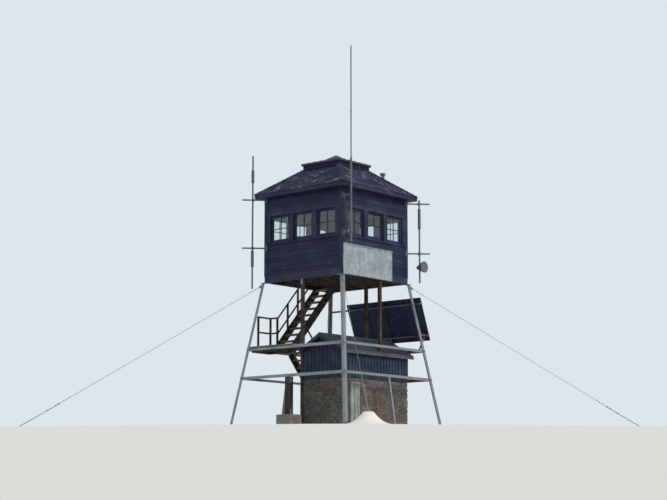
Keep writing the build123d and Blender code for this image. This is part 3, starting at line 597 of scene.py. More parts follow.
cornerIn = cabHalf - siding["cornerBoard"]
laps, trims = newBuild(), newBuild()
bandLow, bandHigh = tower["sill"] - siding["sillBoard"], tower["head"] + siding["headBoard"]
panelStart, panelTop = siding["panelStart"], siding["panelTop"]
panelEnd = siding["panelEnd"] + siding["joint"]
for turn in range(4):
    hasPanel = turn == 1    # the grey sheet is on the right wall
    addLaps(laps, turn, -cornerIn, cornerIn, bandHigh, siding["wallHigh"])
    addLaps(laps, turn, -cornerIn, cornerIn, panelTop if hasPanel else siding["low"], bandLow)
    if hasPanel:
        addLaps(laps, turn, panelEnd, cornerIn, siding["low"], panelTop)
    addTrim(trims, turn, panelEnd if hasPanel else -cabHalf, cabHalf, tower["underside"], siding["low"])
    if hasPanel:    # narrow boards beside and under the grey sheet
        addTrim(trims, turn, -cabHalf, panelStart, tower["underside"], siding["low"])
        addTrim(trims, turn, panelStart, siding["panelEnd"], tower["underside"], siding["panelLow"])
    outerEnd = cabHalf + (siding["trim"] if turn % 2 == 0 else 0.0)
    addTrim(trims, turn, -outerEnd, -cornerIn, panelTop if hasPanel else siding["low"], siding["wallHigh"])
    addTrim(trims, turn, cornerIn, outerEnd, siding["low"], siding["wallHigh"])
makePiece("lapSiding", laps, "claddingPaint", bevel=0.0015)
makePiece("cornerBoards", trims, "trimPaint", bevel=0.003)

# Windows: casings, jambs, a sloping sill, and sashes with bars either side of the pane
windows = {"stile": 0.06, "rail": 0.06, "lowRail": 0.085, "bar": 0.024, "sash": (0.028, 0.072), "jamb": 0.014,
           "jambDepth": 0.1, "casing": 0.026, "sillOut": 0.05, "sillEdge": 0.03, "barEnd": 0.05,
           "barIn": (0.008, 0.01)}
casings, sashes = newBuild(), newBuild()
pitch, width, low, high = (tower[name] for name in ("windowPitch", "windowWidth", "sill", "head"))
jamb, stile, bar, end = windows["jamb"], windows["stile"], windows["bar"] / 2, windows["barEnd"]
(near, far), (uprightIn, levelIn) = windows["sash"], windows["barIn"]


def addStick(build, turn, xs, zs, depths, upright):
    # a frame member in a window's opening; depths are measured in from the wall's face
    ys = [depth - cabHalf for depth in depths]
    addFlat(build, turn, xs, ys, zs, upright, tone=wobble(0.25))


for turn in range(4):
    addTrim(casings, turn, -cornerIn, cornerIn, high, bandHigh, windows["casing"])
    sillY = -cabHalf - windows["sillOut"]
    section = ((-cabHalf, bandLow), (sillY, bandLow), (sillY, bandLow + windows["sillEdge"]), (-cabHalf, low))
    addRun(casings, turn, -cornerIn, cornerIn, section)
    inside, half = pitch + width / 2, (pitch - width) / 2
    uprights = [(-cornerIn, -inside), (inside, cornerIn)]
    uprights += [(side * pitch / 2 - half, side * pitch / 2 + half) for side in (-1, 1)]
    for start, stop in uprights:
        addTrim(casings, turn, start, stop, low, high, windows["casing"])
    for number in (-1, 0, 1):
        middle = number * pitch
        left, right = middle - width / 2, middle + width / 2
        x0, x1, z0, z1 = left + jamb, right - jamb, low + jamb, high - jamb
        through = (0.0, windows["jambDepth"])
        for x in (left, x1):
            addStick(casings, turn, (x, x + jamb), (low, high), through, True)
        for z in (low, z1):
            addStick(casings, turn, (x0, x1), (z, z + jamb), through, False)
        lowRail, topRail = z0 + windows["lowRail"], z1 - windows["rail"]
        middleZ = (lowRail + topRail) / 2
        for xs, zs, inset, upright in (
                ((x0, x0 + stile), (z0, z1), 0, True), ((x1 - stile, x1), (z0, z1), 0, True),
                ((x0 + stile, x1 - stile), (z0, lowRail), 0, False),
                ((x0 + stile, x1 - stile), (topRail, z1), 0, False),
                ((middle - bar, middle + bar), (z0 + end, z1 - end), uprightIn, True),
                ((x0 + end, x1 - end), (middleZ - bar, middleZ + bar), levelIn, False)):
            addStick(sashes, turn, xs, zs, (near + inset, far - inset), upright)
makePiece("windowCasings", casings, "trimPaint", bevel=0.003)
makePiece("windowSashes", sashes, "trimPaint", bevel=0.004)

# The grey sheet on the right wall: cover strips over its joints, and screws along them
panel = {"strips": (-1.47, -0.74, -0.02, 0.76), "stripWidth": 0.045, "stripDepth": 0.006, "stripEnd": 0.004,
         "screwPitch": 0.18, "screw": 0.012, "screwEnds": (0.06, 0.03), "capHeight": 0.03, "capDepth": 0.02}
build = newBuild()
low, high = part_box("right_wall_panel")
for y in panel["strips"]:
    half, face, end = panel["stripWidth"] / 2, high.x + panel["stripDepth"], panel["stripEnd"]
    addBoard(build, (high.x, y - half, low.z + end), (face, y + half, high.z - end), tone=wobble(0.1))
    below, above = panel["screwEnds"]
    z = low.z + below
    while z < high.z - above:
        addBolt(build, (face, y, z), (1, 0, 0), panel["screw"], finish=1)
        z += panel["screwPitch"]
start, end = (high.x, low.y, high.z - panel["capHeight"]), (high.x + panel["capDepth"], high.y, high.z)
addBoard(build, start, end, tone=-0.2)
makePiece("panelStrips", build, "facedPanel galvanisedBolt", bevel=0.0015)
print("cab walls done")

# Roof of split shingles in courses, with doubled caps down the hips
roofing = {"exposure": 0.1, "lap": 0.17, "width": (0.08, 0.16), "gap": 0.005, "butt": 0.01, "thin": 0.003,
           "lift": (0.001, 0.01), "starter": 0.004, "overhang": 0.005, "topGap": 0.02, "ragged": 0.004,
           "bleached": 0.14, "bleachedTone": 1.6, "capWidth": 0.1, "capLength": 0.15625, "capStep": 0.1,
           "capLift": (0.024, 0.013), "capThick": 0.009, "capOverhang": 0.004, "capTopGap": 0.06}


def clipped(points, a, b, c):
    # the part of a flat outline where a * x + b * y <= c
    kept = []
    for here, after in zip(points, points[1:] + points[:1]):
        inHere, inAfter = a * here[0] + b * here[1] - c, a * after[0] + b * after[1] - c
        if inHere <= 0:
            kept.append(here)
        if inHere * inAfter < 0:
            share = inHere / (inHere - inAfter)
            kept.append((here[0] + (after[0] - here[0]) * share, here[1] + (after[1] - here[1]) * share))
    return kept


build = newBuild()
outward = Vector((0, -0.6, 0.8))    # square to the front slope
for turn in range(4):
    butt = eaveHalf + roofing["overhang"]
    course = 0
    while butt > crownHalf + roofing["topGap"]:
        top = max(butt - roofing["lap"], crownHalf)
        x = -butt - dice.uniform(0, 0.08)
        while x < butt:
            width = dice.uniform(*roofing["width"])
            ragged = butt + (wobble(roofing["ragged"]) if course else 0)
            right = x + width - roofing["gap"]
            shape = [(x, top), (right, top), (right, ragged), (x, ragged)]
            shape = clipped(clipped(shape, 1, -1, 0), -1, -1, 0)
            x += width
            if len(shape) < 3:
                continue
            low, push = [], []
            for spotX, spotHalf in shape:
                share = min(max((spotHalf - top) / roofing["lap"], 0), 1)
                near, far = roofing["lift"]
                lift = near + share * (far - near) + (roofing["starter"] if course == 0 else 0)
                thick = roofing["thin"] + share * (roofing["butt"] - roofing["thin"])
                low.append(around(turn, Vector((spotX, -spotHalf, roofTop(spotHalf))) + outward * lift))
                push.append(Vector(around(turn, outward * thick)))
            # a share of the shingles is painted paler, standing in for sun glints on the slopes
            tone = wobble(0.5) + (roofing["bleachedTone"] if dice.random() < roofing["bleached"] else 0)
            addPrism(build, low, push, around(turn, (0, -0.8, -0.6)), tone=tone)
        butt -= roofing["exposure"]
        course += 1
makePiece("roofShingles", build, "cedarShingle")

build = newBuild()
ridge = Vector((1, -1, -tower["pitch"])).normalized()    # down the hip at the front right
footLift, headLift = roofing["capLift"]
for turn in range(4):
    at = eaveHalf + roofing["capOverhang"]
    while at > crownHalf + roofing["capTopGap"]:
        top = at - roofing["capLength"]
        foot, head = Vector((at, -at, roofTop(at))), Vector((top, -top, roofTop(top)))
        for normal, side in ((outward, -1), (Vector((0.6, 0, 0.8)), 1)):
            across = ridge.cross(normal).normalized()
            if across.dot(Vector((side, side, 0))) < 0:
                across = -across
            wide = across * roofing["capWidth"]
            miter = normal - across * 0.4685    # tan of half the angle between the slopes
            low = [foot + miter * footLift, foot + wide + normal * footLift, head + wide + normal * headLift,
                   head + miter * headLift]
            steps = [step * roofing["capThick"] for step in (miter, normal, normal, miter)]
            push = [Vector(step) for step in aroundAll(turn, steps)]
            addPrism(build, aroundAll(turn, low), push, around(turn, ridge), tone=wobble(0.4))
        at -= roofing["capStep"]
makePiece("hipCaps", build, "cedarShingle", bevel=0.001)

# Eaves: drip edge, and the edges of the soffit boards
eaves = {"boardWidth": 0.09, "dripZ": (7.137, 7.107), "dripOut": 0.006, "soffitZ": (7.005, 7.002),
         "groove": 0.004, "edge": 0.03}
build = newBuild()
for turn in range(4):
    drip = rectangle(-eaveHalf, -eaveHalf - eaves["dripOut"], *eaves["dripZ"])
    addRun(build, turn, -eaveHalf, eaveHalf, drip)
    out = cabHalf + eaves["edge"]
    while out < eaveHalf - eaves["edge"]:
        addFlat(build, turn, (-out, out), (-out, -out - eaves["groove"]), eaves["soffitZ"], tone=-0.4)
        out += eaves["boardWidth"]
makePiece("eaveTrim", build, "trimPaint")

# Crown: louvres in three bays a side, standing seams on its roof, and the folded hems and hips.
# Hems and blades are steps out and up, and a hip is its two ends and its radius.
crown = {"low": 7.92, "high": 8.062, "bays": 3, "stile": 0.05, "depth": 0.03, "stileOut": 0.002,
         "lowRail": 0.022, "topRail": 0.02, "blades": 3, "bladePitch": 0.034, "bladeEnd": 0.03,
         "blade": ((0, 0.022), (0.024, 0), (0.024, -0.004), (0, 0.018)), "seamHalf": 0.006,
         "seams": (-0.5, -0.25, 0.0, 0.25, 0.5), "seamHeight": 0.022, "edge": 0.755, "eaveZ": 8.1,
         "pitch": 0.14, "hem": ((0, 8.106), (0.008, 8.106), (0.012, 8.045), (0, 8.05)),
         "hip": ((0.24, 8.1721), (0.755, 8.1), 0.014)}
vent = {"half": 0.24, "slots": (-0.14, 0.0, 0.14), "slotHalf": 0.05, "slotDepth": 0.012,
        "slotZ": (8.185, 8.197), "edge": 0.29, "hip": ((0.288, 8.219), (0.017, 8.392), 0.009),
        "hem": ((0, 8.217), (0.008, 8.217), (0.008, 8.205), (-0.004, 8.205)), "knobZ": (8.39, 8.41),
        "knob": (0.02, 0.006)}


def crownTop(half):
    return crown["eaveZ"] + (crown["edge"] - half) * crown["pitch"]


frames, blades = newBuild(), newBuild()
low, high, stile = crown["low"], crown["high"], crown["stile"] / 2
near, far = -crownHalf, -crownHalf - crown["depth"]
for turn in range(4):
    for zs in ((low, low + crown["lowRail"]), (high - crown["topRail"], high)):
        addFlat(frames, turn, (-crownHalf, crownHalf), (near, far), zs)
    for number in range(crown["bays"] + 1):
        middle = -crownHalf + number * 2 * crownHalf / crown["bays"]
        middle = min(max(middle, -crownHalf + stile), crownHalf - stile)
        ys = (near, far - crown["stileOut"])
        addFlat(frames, turn, (middle - stile, middle + stile), ys, (low, high), True)
    for number in range(crown["blades"]):
        z = low + (number + 1) * crown["bladePitch"]
        blade = [(-crownHalf - out, z + rise) for out, rise in crown["blade"]]
        addRun(blades, turn, crown["bladeEnd"] - crownHalf, crownHalf - crown["bladeEnd"], blade, tone=0.3)
makePiece("crownFrames", frames, "trimPaint", bevel=0.002)
makePiece("crownLouvres", blades, "crownPaint")

build = newBuild()
for turn in range(4):
    for x in crown["seams"]:
        thick, inner = crown["seamHalf"], max(abs(x), vent["half"])
        seam = [(x + dx, -y, crownTop(y)) for dx, y in rectangle(-thick, thick, inner, crown["edge"])]
        addPrism(build, aroundAll(turn, seam), (0, 0, crown["seamHeight"]), around(turn, (0, -1, 0)))
    for roof in (crown, vent):
        edge, (start, end, radius) = roof["edge"], roof["hip"]
        addRun(build, turn, -edge, edge, [(-edge - out, z) for out, z in roof["hem"]])
        addRod(build, *(around(turn, (half, -half, z)) for half, z in (start, end)), radius, sides=8)
    for x in vent["slots"]:
        xs, half = (x - vent["slotHalf"], x + vent["slotHalf"]), vent["half"]
        addFlat(build, turn, xs, (-half, -half - vent["slotDepth"]), vent["slotZ"])
addRod(build, *((0, 0, z) for z in vent["knobZ"]), *vent["knob"])
makePiece("crownSeams", build, "crownPaint")

# Flashing and storm collar where the vent pipe leaves the shingles, and the stays of its cap
flashing = {"apron": (-0.13, 0.13, -0.13, 0.15), "lift": 0.02, "thick": (0, 0.0018, 0.0024),
            "collars": ((-0.02, 0.13, 0.085, 0.053), (0.13, 0.16, 0.075, 0.052)),
            "stays": (0.5, 2.6, 4.7), "stayEnds": ((0.075, -0.07), (0.055, -0.13)), "stay": 0.005}
build = newBuild()
low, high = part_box("vent_pipe")
pipeX, pipeY = (low.x + high.x) / 2, (low.y + high.y) / 2
apron = [(pipeX + dx, pipeY + dy, roofTop(pipeY + dy) + flashing["lift"])
         for dx, dy in rectangle(*flashing["apron"])]
addPrism(build, apron, flashing["thick"])
for start, end, wide, narrow in flashing["collars"]:
    z = roofTop(pipeY)
    addRod(build, (pipeX, pipeY, z + start), (pipeX, pipeY, z + end), wide, narrow, sides=20)
for angle in flashing["stays"]:
    ends = [(pipeX + out * cos(angle), pipeY + out * sin(angle), high.z + rise)
            for out, rise in flashing["stayEnds"]]
    addRod(build, *ends, flashing["stay"], sides=6)
makePiece("ventFlashing", build, "galvanisedSteel")
print("roof done")

# Landing of planks, cut at its step and its notch
landing = {"plank": 0.1455, "gap": 0.006, "edge": 1.9184, "notch": 1.787, "stepX": -0.725, "rightX": -0.09,
           "backY": -1.0, "sideBackY": -1.36}
build = newBuild()
y, notchY, sideBackY = -landing["edge"], -landing["notch"], landing["sideBackY"]
while y < landing["backY"] - 0.03:
    back = min(y + landing["plank"], landing["backY"])
    cuts = [y, back]
    for cut in (notchY, sideBackY):
        if y + 0.02 < cut < back - 0.02:
            cuts.insert(1, cut)
        elif abs(cut - back) <= 0.02:
            back = cuts[-1] = cut
    tone = wobble(0.5)
    for near, far in zip(cuts, cuts[1:]):
        left = notchY if near < notchY - 0.001 else -landing["edge"]
        right = landing["rightX"] if near < sideBackY - 0.001 else landing["stepX"]
        last = far - (landing["gap"] if far == cuts[-1] else 0.0)
        start, end = (left, near, tower["deckLow"]), (right + wobble(0.004), last, tower["deckTop"])
        addBoard(build, start, end, (1, 0, 0), tone=tone)
    y = back
makePiece("landingPlanks", build, "timberGrey", bevel=0.003, replaced="landing_deck")

# Treads of two planks each, on angle cleats bolted through the stringers; rise is per step, up or down
treads = {"thick": 0.04, "slot": 0.004, "backY": 0.8, "cleat": 0.035, "leaf": 0.006, "leg": 0.045,
          "legThick": 0.005, "stringer": 0.045, "bolt": 0.02, "boltDrop": 0.06}
flights = {
    "upper": {"xs": (-1.375, -0.795), "start": -1.2, "going": 0.2, "rise": 0.216, "steps": 9,
              "ends": (0, 0.235), "cleat": (0.02, 0.2), "bolts": (0.05, 0.16), "hasLegs": True},
    "lower": {"xs": (-0.655, -0.195), "start": -1.36, "going": 0.18, "rise": -0.2075, "steps": 11,
              "ends": (-0.235, 0), "cleat": (-0.2, -0.03), "bolts": (-0.17, -0.07), "hasLegs": False},
}
cleats = newBuild()
for name, flight in flights.items():
    build = newBuild()
    left, right = flight["xs"]
    for step in range(1, flight["steps"] + 1):
        nose = flight["start"] + step * flight["going"]
        top = tower["deckTop"] + step * flight["rise"]
        front, back = (min(nose + end, treads["backY"]) for end in flight["ends"])
        middle = (front + back) / 2
        for near, far in ((front, middle - treads["slot"]), (middle + treads["slot"], back)):
            end = (right, far, top + wobble(0.0015))
            addBoard(build, (left, near, top - treads["thick"]), end, (1, 0, 0), tone=wobble(0.5))
        near, far = (nose + end for end in flight["cleat"])
        under = top - treads["thick"]
        for x, inward in ((left, 1), (right, -1)):
            edge = x + inward * treads["cleat"]
            addBoard(cleats, (x, near, under - treads["leaf"]), (edge, far, under), (0, 1, 0))
            if flight["hasLegs"]:
                edge = x + inward * treads["legThick"]
                addBoard(cleats, (x, near, under - treads["leg"]), (edge, far, under))
        for along in flight["bolts"]:
            for x, outward in ((left, -1), (right, 1)):
                spot = (x + outward * treads["stringer"], nose + along, top - treads["boltDrop"])
                addBolt(cleats, spot, (outward, 0, 0), treads["bolt"])
    makePiece(name + "TreadPlanks", build, "timberGrey", bevel=0.004,
              replaced=name + "_treads")
makePiece("treadCleats", cleats, "galvanisedBolt")
print("stairs done")

# Rubble ring: split stones laid in courses, the corners laid long and short, over recessed mortar
rubble = {"courses": (0.15, 0.28), "length": (0.2, 0.52), "joint": 0.008, "ragged": 0.01,
          "face": (-0.003, 0.012), "cut": (0.012, 0.06), "mostCut": 0.35, "depth": 0.13, "mortarIn": 0.018,
          "long": 0.42, "short": 0.23, "leastLeft": 0.16, "mostOver": 0.05, "split": 0.19,
          "splitChance": 0.35, "splitAt": (0.38, 0.62), "chipSize": 0.09, "chipDepth": 0.022,
          "chipLevel": 0.66}
build = newBuild()
ringTop, shedHalf, shedWidth = tower["stoneTop"], tower["shedHalf"], tower["shedWidth"]
heights = [0.0]
while ringTop - heights[-1] > 0.4:
    heights.append(heights[-1] + dice.uniform(*rubble["courses"]))
heights += [(heights[-1] + ringTop) / 2, ringTop]
ringCorners = [Vector((x, y, 0)) for x, y in rectangle(0, shedWidth, -shedHalf, shedHalf)]


def stoneWarmth(point):
    # the red-brown stones lie together in the middle of the right side
    near = point.x > 1.3 and -0.75 < point.y < 0.45 and point.z < 1.2
    return dice.uniform(0.2, 0.75) if near else max(0.0, dice.uniform(-0.7, 0.35))


def addStone(build, start, along, inward, length, low, high):
    joint, ragged = rubble["joint"], rubble["ragged"]
    left, right, bottom, top = joint, length - joint, low + joint, high - joint
    cuts = [min(dice.uniform(*rubble["cut"]), (top - bottom) * rubble["mostCut"]) for _ in range(4)]
    face = [(left + cuts[0], bottom), (right - cuts[1], bottom), (right, bottom + cuts[1]),
            (right, top - cuts[2]), (right - cuts[2], top), (left + cuts[3], top),
            (left, top - cuts[3]), (left, bottom + cuts[0])]
    outline = []
    for distance, z in face:
        lift = 0 if high > ringTop - 0.001 and z > high - 0.02 else wobble(ragged * 0.6)
        spot = start + along * (distance + wobble(ragged)) + inward * dice.uniform(*rubble["face"])
        outline.append((spot.x, spot.y, min(max(z + lift, 0.002), ringTop - 0.004)))
    middle = start + along * length / 2 + Vector((0, 0, (low + high) / 2))
    addPrism(build, outline, inward * rubble["depth"], along, tone=wobble(0.5), warm=stoneWarmth(middle))


for course, (low, high) in enumerate(zip(heights, heights[1:])):
    for number, here in enumerate(ringCorners):
        after = ringCorners[(number + 1) % 4]
        along = (after - here).normalized()
        inward = Vector((-along.y, along.x, 0))
        span = (after - here).length
        first, final = rubble["long"], rubble["short"]
        if (course + number) % 2:
            first, final = final, first
        addStone(build, here, along, inward, first, low, high)
        addStone(build, after - along * final, along, inward, final, low, high)
        at = first
        while span - final - at > 0.02:
            length = dice.uniform(*rubble["length"])
            if span - final - at - length < rubble["leastLeft"]:
                length = span - final - at
                if length > rubble["length"][1] + rubble["mostOver"]:
                    length /= 2
            beds = [low, high]
            if high - low > rubble["split"] and dice.random() < rubble["splitChance"]:    # two thin ones
                beds.insert(1, low + (high - low) * dice.uniform(*rubble["splitAt"]))
            for bottom, top in zip(beds, beds[1:]):
                addStone(build, here + along * at, along, inward, length, bottom, top)
            at += length
stones = makePiece("rubbleStones", build, "rubbleStone", bevel=0.02, segments=2)
finer = stones.modifiers.new("broken face", "SUBSURF")
finer.subdivision_type = "SIMPLE"
finer.levels = finer.render_levels = 1
chips = bpy.data.textures.new("chips", "CLOUDS")
chips.noise_scale = rubble["chipSize"]
rough = stones.modifiers.new("chipped", "DISPLACE")
rough.texture = chips
rough.texture_coords = "GLOBAL"
rough.strength = rubble["chipDepth"]
rough.mid_level = rubble["chipLevel"]

build = newBuild()
inset = rubble["mortarIn"]
wall = tower["stoneWall"] - inset
x0, x1, y0, y1 = inset, shedWidth - inset, -shedHalf + inset, shedHalf - inset
walls = ((x0, x1, y0, y0 + wall), (x0, x1, y1 - wall, y1),
         (x0, x0 + wall, y0 + wall, y1 - wall), (x1 - wall, x1, y0 + wall, y1 - wall))
for left, right, front, back in walls:
    addBoard(build, (left, front, 0), (right, back, ringTop))
makePiece("rubbleMortar", build, "limeMortar", bevel=0.004, replaced="shed_base")
print("stone ring done")

# Shed: boards with cover strips, barge boards and the ribs of its roof sheet
shed = {"ridgeX": 0.7625, "ridgeZ": 2.75, "sheet": 0.05, "pitch": 0.58, "slopes": (0.0, 1.625), "eaveZ": 2.25,
        "gable": 1.675, "board": 0.145, "strip": 0.038, "stripDepth": 0.016, "firstStrip": 0.02,
        "lastStrip": 1.507, "barge": 0.022, "bargeZ": (-0.06, 0.056), "rib": 0.25, "firstRib": 0.05,
        "postY": 0.25, "postRoom": 0.1, "cornerPostY": 1.48, "cornerPostRoom": 0.08,
        "ribSection": ((-0.016, 0.05), (-0.008, 0.072), (0.008, 0.072), (0.016, 0.05)),
        "cap": ((0, 0.007), (0.13, -0.068), (0.13, -0.059), (0, 0.025))}
ridgeX, gable = shed["ridgeX"], shed["gable"]


def shedUnder(x):
    return shed["ridgeZ"] - shed["sheet"] - abs(x - ridgeX) * shed["pitch"]


build = newBuild()
count, strip = int(shedWidth / shed["board"]), shed["strip"] / 2
for number in range(count + 1):
    x = shed["firstStrip"] + number * (shed["lastStrip"] - shed["firstStrip"]) / count
    for outward in (-1, 1):
        y, left, right = outward * shedHalf, x - strip, x + strip
        outline = [(left, y, ringTop), (right, y, ringTop), (right, y, shedUnder(right) - 0.002),
                   (left, y, shedUnder(left) - 0.002)]
        addPrism(build, outline, (0, outward * shed["stripDepth"], 0), (0, 0, 1), tone=wobble(0.3))
y = -shedHalf + shed["firstStrip"]
while y < shedHalf:
    for x, outward in ((0, -1), (shedWidth, 1)):
        if outward < 0 and abs(abs(y) - shed["cornerPostY"]) < shed["cornerPostRoom"]:    # a post is there
            continue
        edge = x + outward * shed["stripDepth"]
        addBoard(build, (x, y - strip, ringTop), (edge, y + strip, shed["eaveZ"]), tone=wobble(0.3))
    y += shed["board"]
makePiece("shedCoverStrips", build, "shedPaint", bevel=0.002)

build = newBuild()
for y in (-gable - shed["barge"], gable):
    for start in shed["slopes"]:
        outline = [(x, y, shedUnder(x) + rise) for x, rise in rectangle(start, ridgeX, *shed["bargeZ"])]
        grain = (0.86, 0, 0.5 if start < ridgeX else -0.5)
        addPrism(build, outline, (0, shed["barge"], 0), grain, tone=wobble(0.2))
makePiece("bargeBoards", build, "shedPaint", bevel=0.003)

build = newBuild()
y = -gable + shed["firstRib"]
while y < gable - 0.02:
    for start in shed["slopes"]:
        if start and abs(y - shed["postY"]) < shed["postRoom"]:    # a cab post passes through the sheet
            continue
        low = shedUnder(start)
        rib = [(start, y + dy, low + dz) for dy, dz in shed["ribSection"]]
        addPrism(build, rib, (ridgeX - start, 0, shedUnder(ridgeX) - low), (1, 0, shed["pitch"]))
    y += shed["rib"]
for side in (-1, 1):
    cap = [(ridgeX + side * out, -gable, shed["ridgeZ"] + rise) for out, rise in shed["cap"]]
    addPrism(build, cap, (0, 2 * gable, 0), (0, 1, 0))
makePiece("shedRoofRibs", build, "shedSheet")

# Pale upright against the stone: three cover strips and a cap
pier = {"strip": 0.06, "stripIn": 0.004, "stripDepth": 0.018, "cap": 0.03, "capOut": 0.012,
        "capX": (-0.01, 0.03)}
build = newBuild()
low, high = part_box("shed_pier")
top, strip, inset, out = high.z - pier["cap"], pier["strip"], pier["stripIn"], pier["capOut"]
for y in (low.y + inset, (low.y + high.y - strip) / 2, high.y - strip - inset):
    addBoard(build, (high.x, y, 0.0), (high.x + pier["stripDepth"], y + strip, top), tone=wobble(0.2))
left, right = (high.x + reach for reach in pier["capX"])
addBoard(build, (left, low.y - out, top), (right, high.y + out, high.z + out), tone=0.1)
makePiece("pierStrips", build, "palePaint", bevel=0.003)
print("shed done")

# Panel array: folded frames, cells on the sunny side, junction boxes on the back
array = {"topY": 1.75, "topZ": 4.035, "footY": 2.23, "footZ": 2.77, "leftX": -1.04, "rightX": 1.86,
         "panels": 4, "gap": 0.012, "thick": 0.035, "rim": 0.028, "columns": 4, "rows": 8,
         "cellEdge": (0.008, 0.012), "cellGap": 0.002, "cellCut": 0.014, "back": (-0.012, -0.006),
         "boxHalf": 0.06, "boxAlong": (0.14, 0.24), "boxOut": (-0.034, -0.0115), "lid": (0.01, 0.006),
         "cellThick": 0.002, "clampApart": 0.5, "clamp": 0.02, "clampLong": 0.03, "clampOut": (-0.001, 0.004),
         "clampBolt": 0.014, "railBolt": 0.02, "rail": 0.05}
down = Vector((0, array["footY"] - array["topY"], array["footZ"] - array["topZ"]))
slope = down.length
down.normalize()
sunward = Vector((1, 0, 0)).cross(down)
sunward = sunward if sunward.y > 0 else -sunward
panelPitch = (array["rightX"] - array["leftX"] + array["gap"]) / array["panels"]
panelWidth = panelPitch - array["gap"]


def onArray(x, along, out):
    return Vector((x, array["topY"], array["topZ"])) + down * along + sunward * out


def addSlab(build, xs, alongs, outs, grain=(1, 0, 0), **more):
    outline = [onArray(x, along, outs[0]) for x, along in rectangle(*xs, *alongs)]
    addPrism(build, outline, sunward * (outs[1] - outs[0]), grain, **more)


rims, cells, backs = newBuild(), newBuild(), newBuild()
rim, through = array["rim"], (-array["thick"], 0)
for number in range(array["panels"]):
    left = array["leftX"] + number * panelPitch
    right = left + panelWidth
    inside, middle = (left + rim, right - rim), (left + right) / 2
    addSlab(rims, (left, left + rim), (0, slope), through, down)
    addSlab(rims, (right - rim, right), (0, slope), through, down)
    addSlab(rims, inside, (0, rim), through)
    addSlab(rims, inside, (slope - rim, slope), through)
    addSlab(backs, inside, (rim, slope - rim), array["back"], down, tone=wobble(0.2))
    half, (near, far), (low, high) = array["boxHalf"], array["boxAlong"], array["boxOut"]
    addSlab(backs, (middle - half, middle + half), (near, far), (low, high), tone=-0.3)
    inset, lid = array["lid"]
    xs, alongs = (middle - half + inset, middle + half - inset), (near + inset, far - inset)
    addSlab(backs, xs, alongs, (low - lid, low), tone=-0.2)
    edgeX, edgeAlong = array["cellEdge"]
    stepX = (panelWidth - 2 * rim - 2 * edgeX) / array["columns"]
    stepDown = (slope - 2 * rim - 2 * edgeAlong) / array["rows"]
    spots = cutSquare(stepX / 2 - array["cellGap"], stepDown / 2 - array["cellGap"], array["cellCut"])
    for column in range(array["columns"]):
        for row in range(array["rows"]):
            x = left + rim + edgeX + (column + 0.5) * stepX
            along = rim + edgeAlong + (row + 0.5) * stepDown
            outline = [onArray(x + dx, along + dy, array["back"][1]) for dx, dy in spots]
            addPrism(cells, outline, sunward * array["cellThick"], down, tone=wobble(0.25))
makePiece("panelRims", rims, "darkAnodised", bevel=0.002, replaced="solar_panels")
makePiece("panelCells", cells, "solarCell")
makePiece("panelBacks", backs, "backSheet", bevel=0.001)

# Clamps that hold the panels' rims to the rails behind them
build = newBuild()
half, long = array["clamp"], array["clampLong"]
for along in (slope / 2 - array["clampApart"], slope / 2 + array["clampApart"]):
    for number in range(array["panels"] + 1):
        x = array["leftX"] + number * panelPitch - array["gap"] / 2
        x = min(max(x, array["leftX"] + half), array["rightX"] - half)
        addSlab(build, (x - half, x + half), (along - long, along + long), array["clampOut"])
        addBolt(build, onArray(x, along, array["clampOut"][1]), sunward, array["clampBolt"])
        addBolt(build, onArray(x, along, -array["thick"] - array["rail"]), -sunward, array["railBolt"])
makePiece("panelClamps", build, "galvanisedBolt")
print("panel array done")

# Masts: clamps, wall plates, aerial ends, the horn's rim and cover, and the whip's couplings.
# A disc is how far it goes, and its radius at each end.
masts = {"half": 1.8, "arm": 0.025, "bolt": 0.022, "plate": (1.43, 1.543, 1.549), "plateHalf": 0.09,
         "boltAt": 1.47, "boltApart": 0.06, "end": (0.022, 0.045, 0.028), "band": (0.01, 0.03, 0.048),
         "cap": (0.01, 0.027, 0.02), "sides": (
             {"side": -1, "arms": (5.49, 6.97), "aerials": ((4.93, 5.39), (7.51, 7.88)), "top": 8.33},
             {"side": 1, "arms": (5.38, 6.92), "aerials": ((6.15, 6.75),), "top": 7.03})}
mainMast = {"x": 1.84, "y": -1.5, "arm": 0.03, "arms": (5.65, 6.75), "plateX": (1.546, 1.554),
            "plateHalf": 0.045, "boltApart": 0.065, "taper": 0.9,
            "couplings": ((7.7, 7.8, 0.036), (7.8, 7.86, 0.026), (9.2, 9.26, 0.022), (5.35, 5.38, 0.034))}
# shallow cover, rolled rim, two bands and the neck: start, length, radius at each end, tone
horn = {"z": 4.96, "discs": ((1.98, 0.008, 0.1666, 0.136, 0.4), (1.966, 0.02, 0.174, 0.174, 0.0),
                             (1.79, 0.012, 0.0905, 0.096, -0.2), (1.89, 0.012, 0.136, 0.142, -0.2),
                             (1.705, 0.036, 0.04, 0.05, -0.3))}
clamp = {"apart": 0.03, "bar": 0.005, "leg": 0.04, "nutIn": 0.034, "nut": 0.016, "saddleIn": 0.006,
         "saddle": (-0.05, 0.05, -0.045, 0.045), "saddleThick": 0.008}
build = newBuild()


def addClamp(build, x, y, z, out, radius):
    # two U-bolts round the tube, with a saddle and nuts on the arm's side
    out, centre, bar = Vector((*out, 0)).normalized(), Vector((x, y, z)), clamp["bar"]
    across, reach = Vector((-out.y, out.x, 0)), radius + bar
    for level in (-clamp["apart"], clamp["apart"]):
        middle = centre + Vector((0, 0, level))
        addBow(build, middle, (0, 0, 1), across, reach, bar, -pi)
        for side in (-1, 1):
            start = middle + across * side * reach
            addRod(build, start, start - out * clamp["leg"], bar, sides=8)
            addBolt(build, start - out * clamp["nutIn"], -out, clamp["nut"])
    inner = centre - out * (radius + clamp["saddleIn"])
    saddle = [inner + across * s + Vector((0, 0, h)) for s, h in rectangle(*clamp["saddle"])]
    addPrism(build, saddle, -out * clamp["saddleThick"], (0, 0, 1))


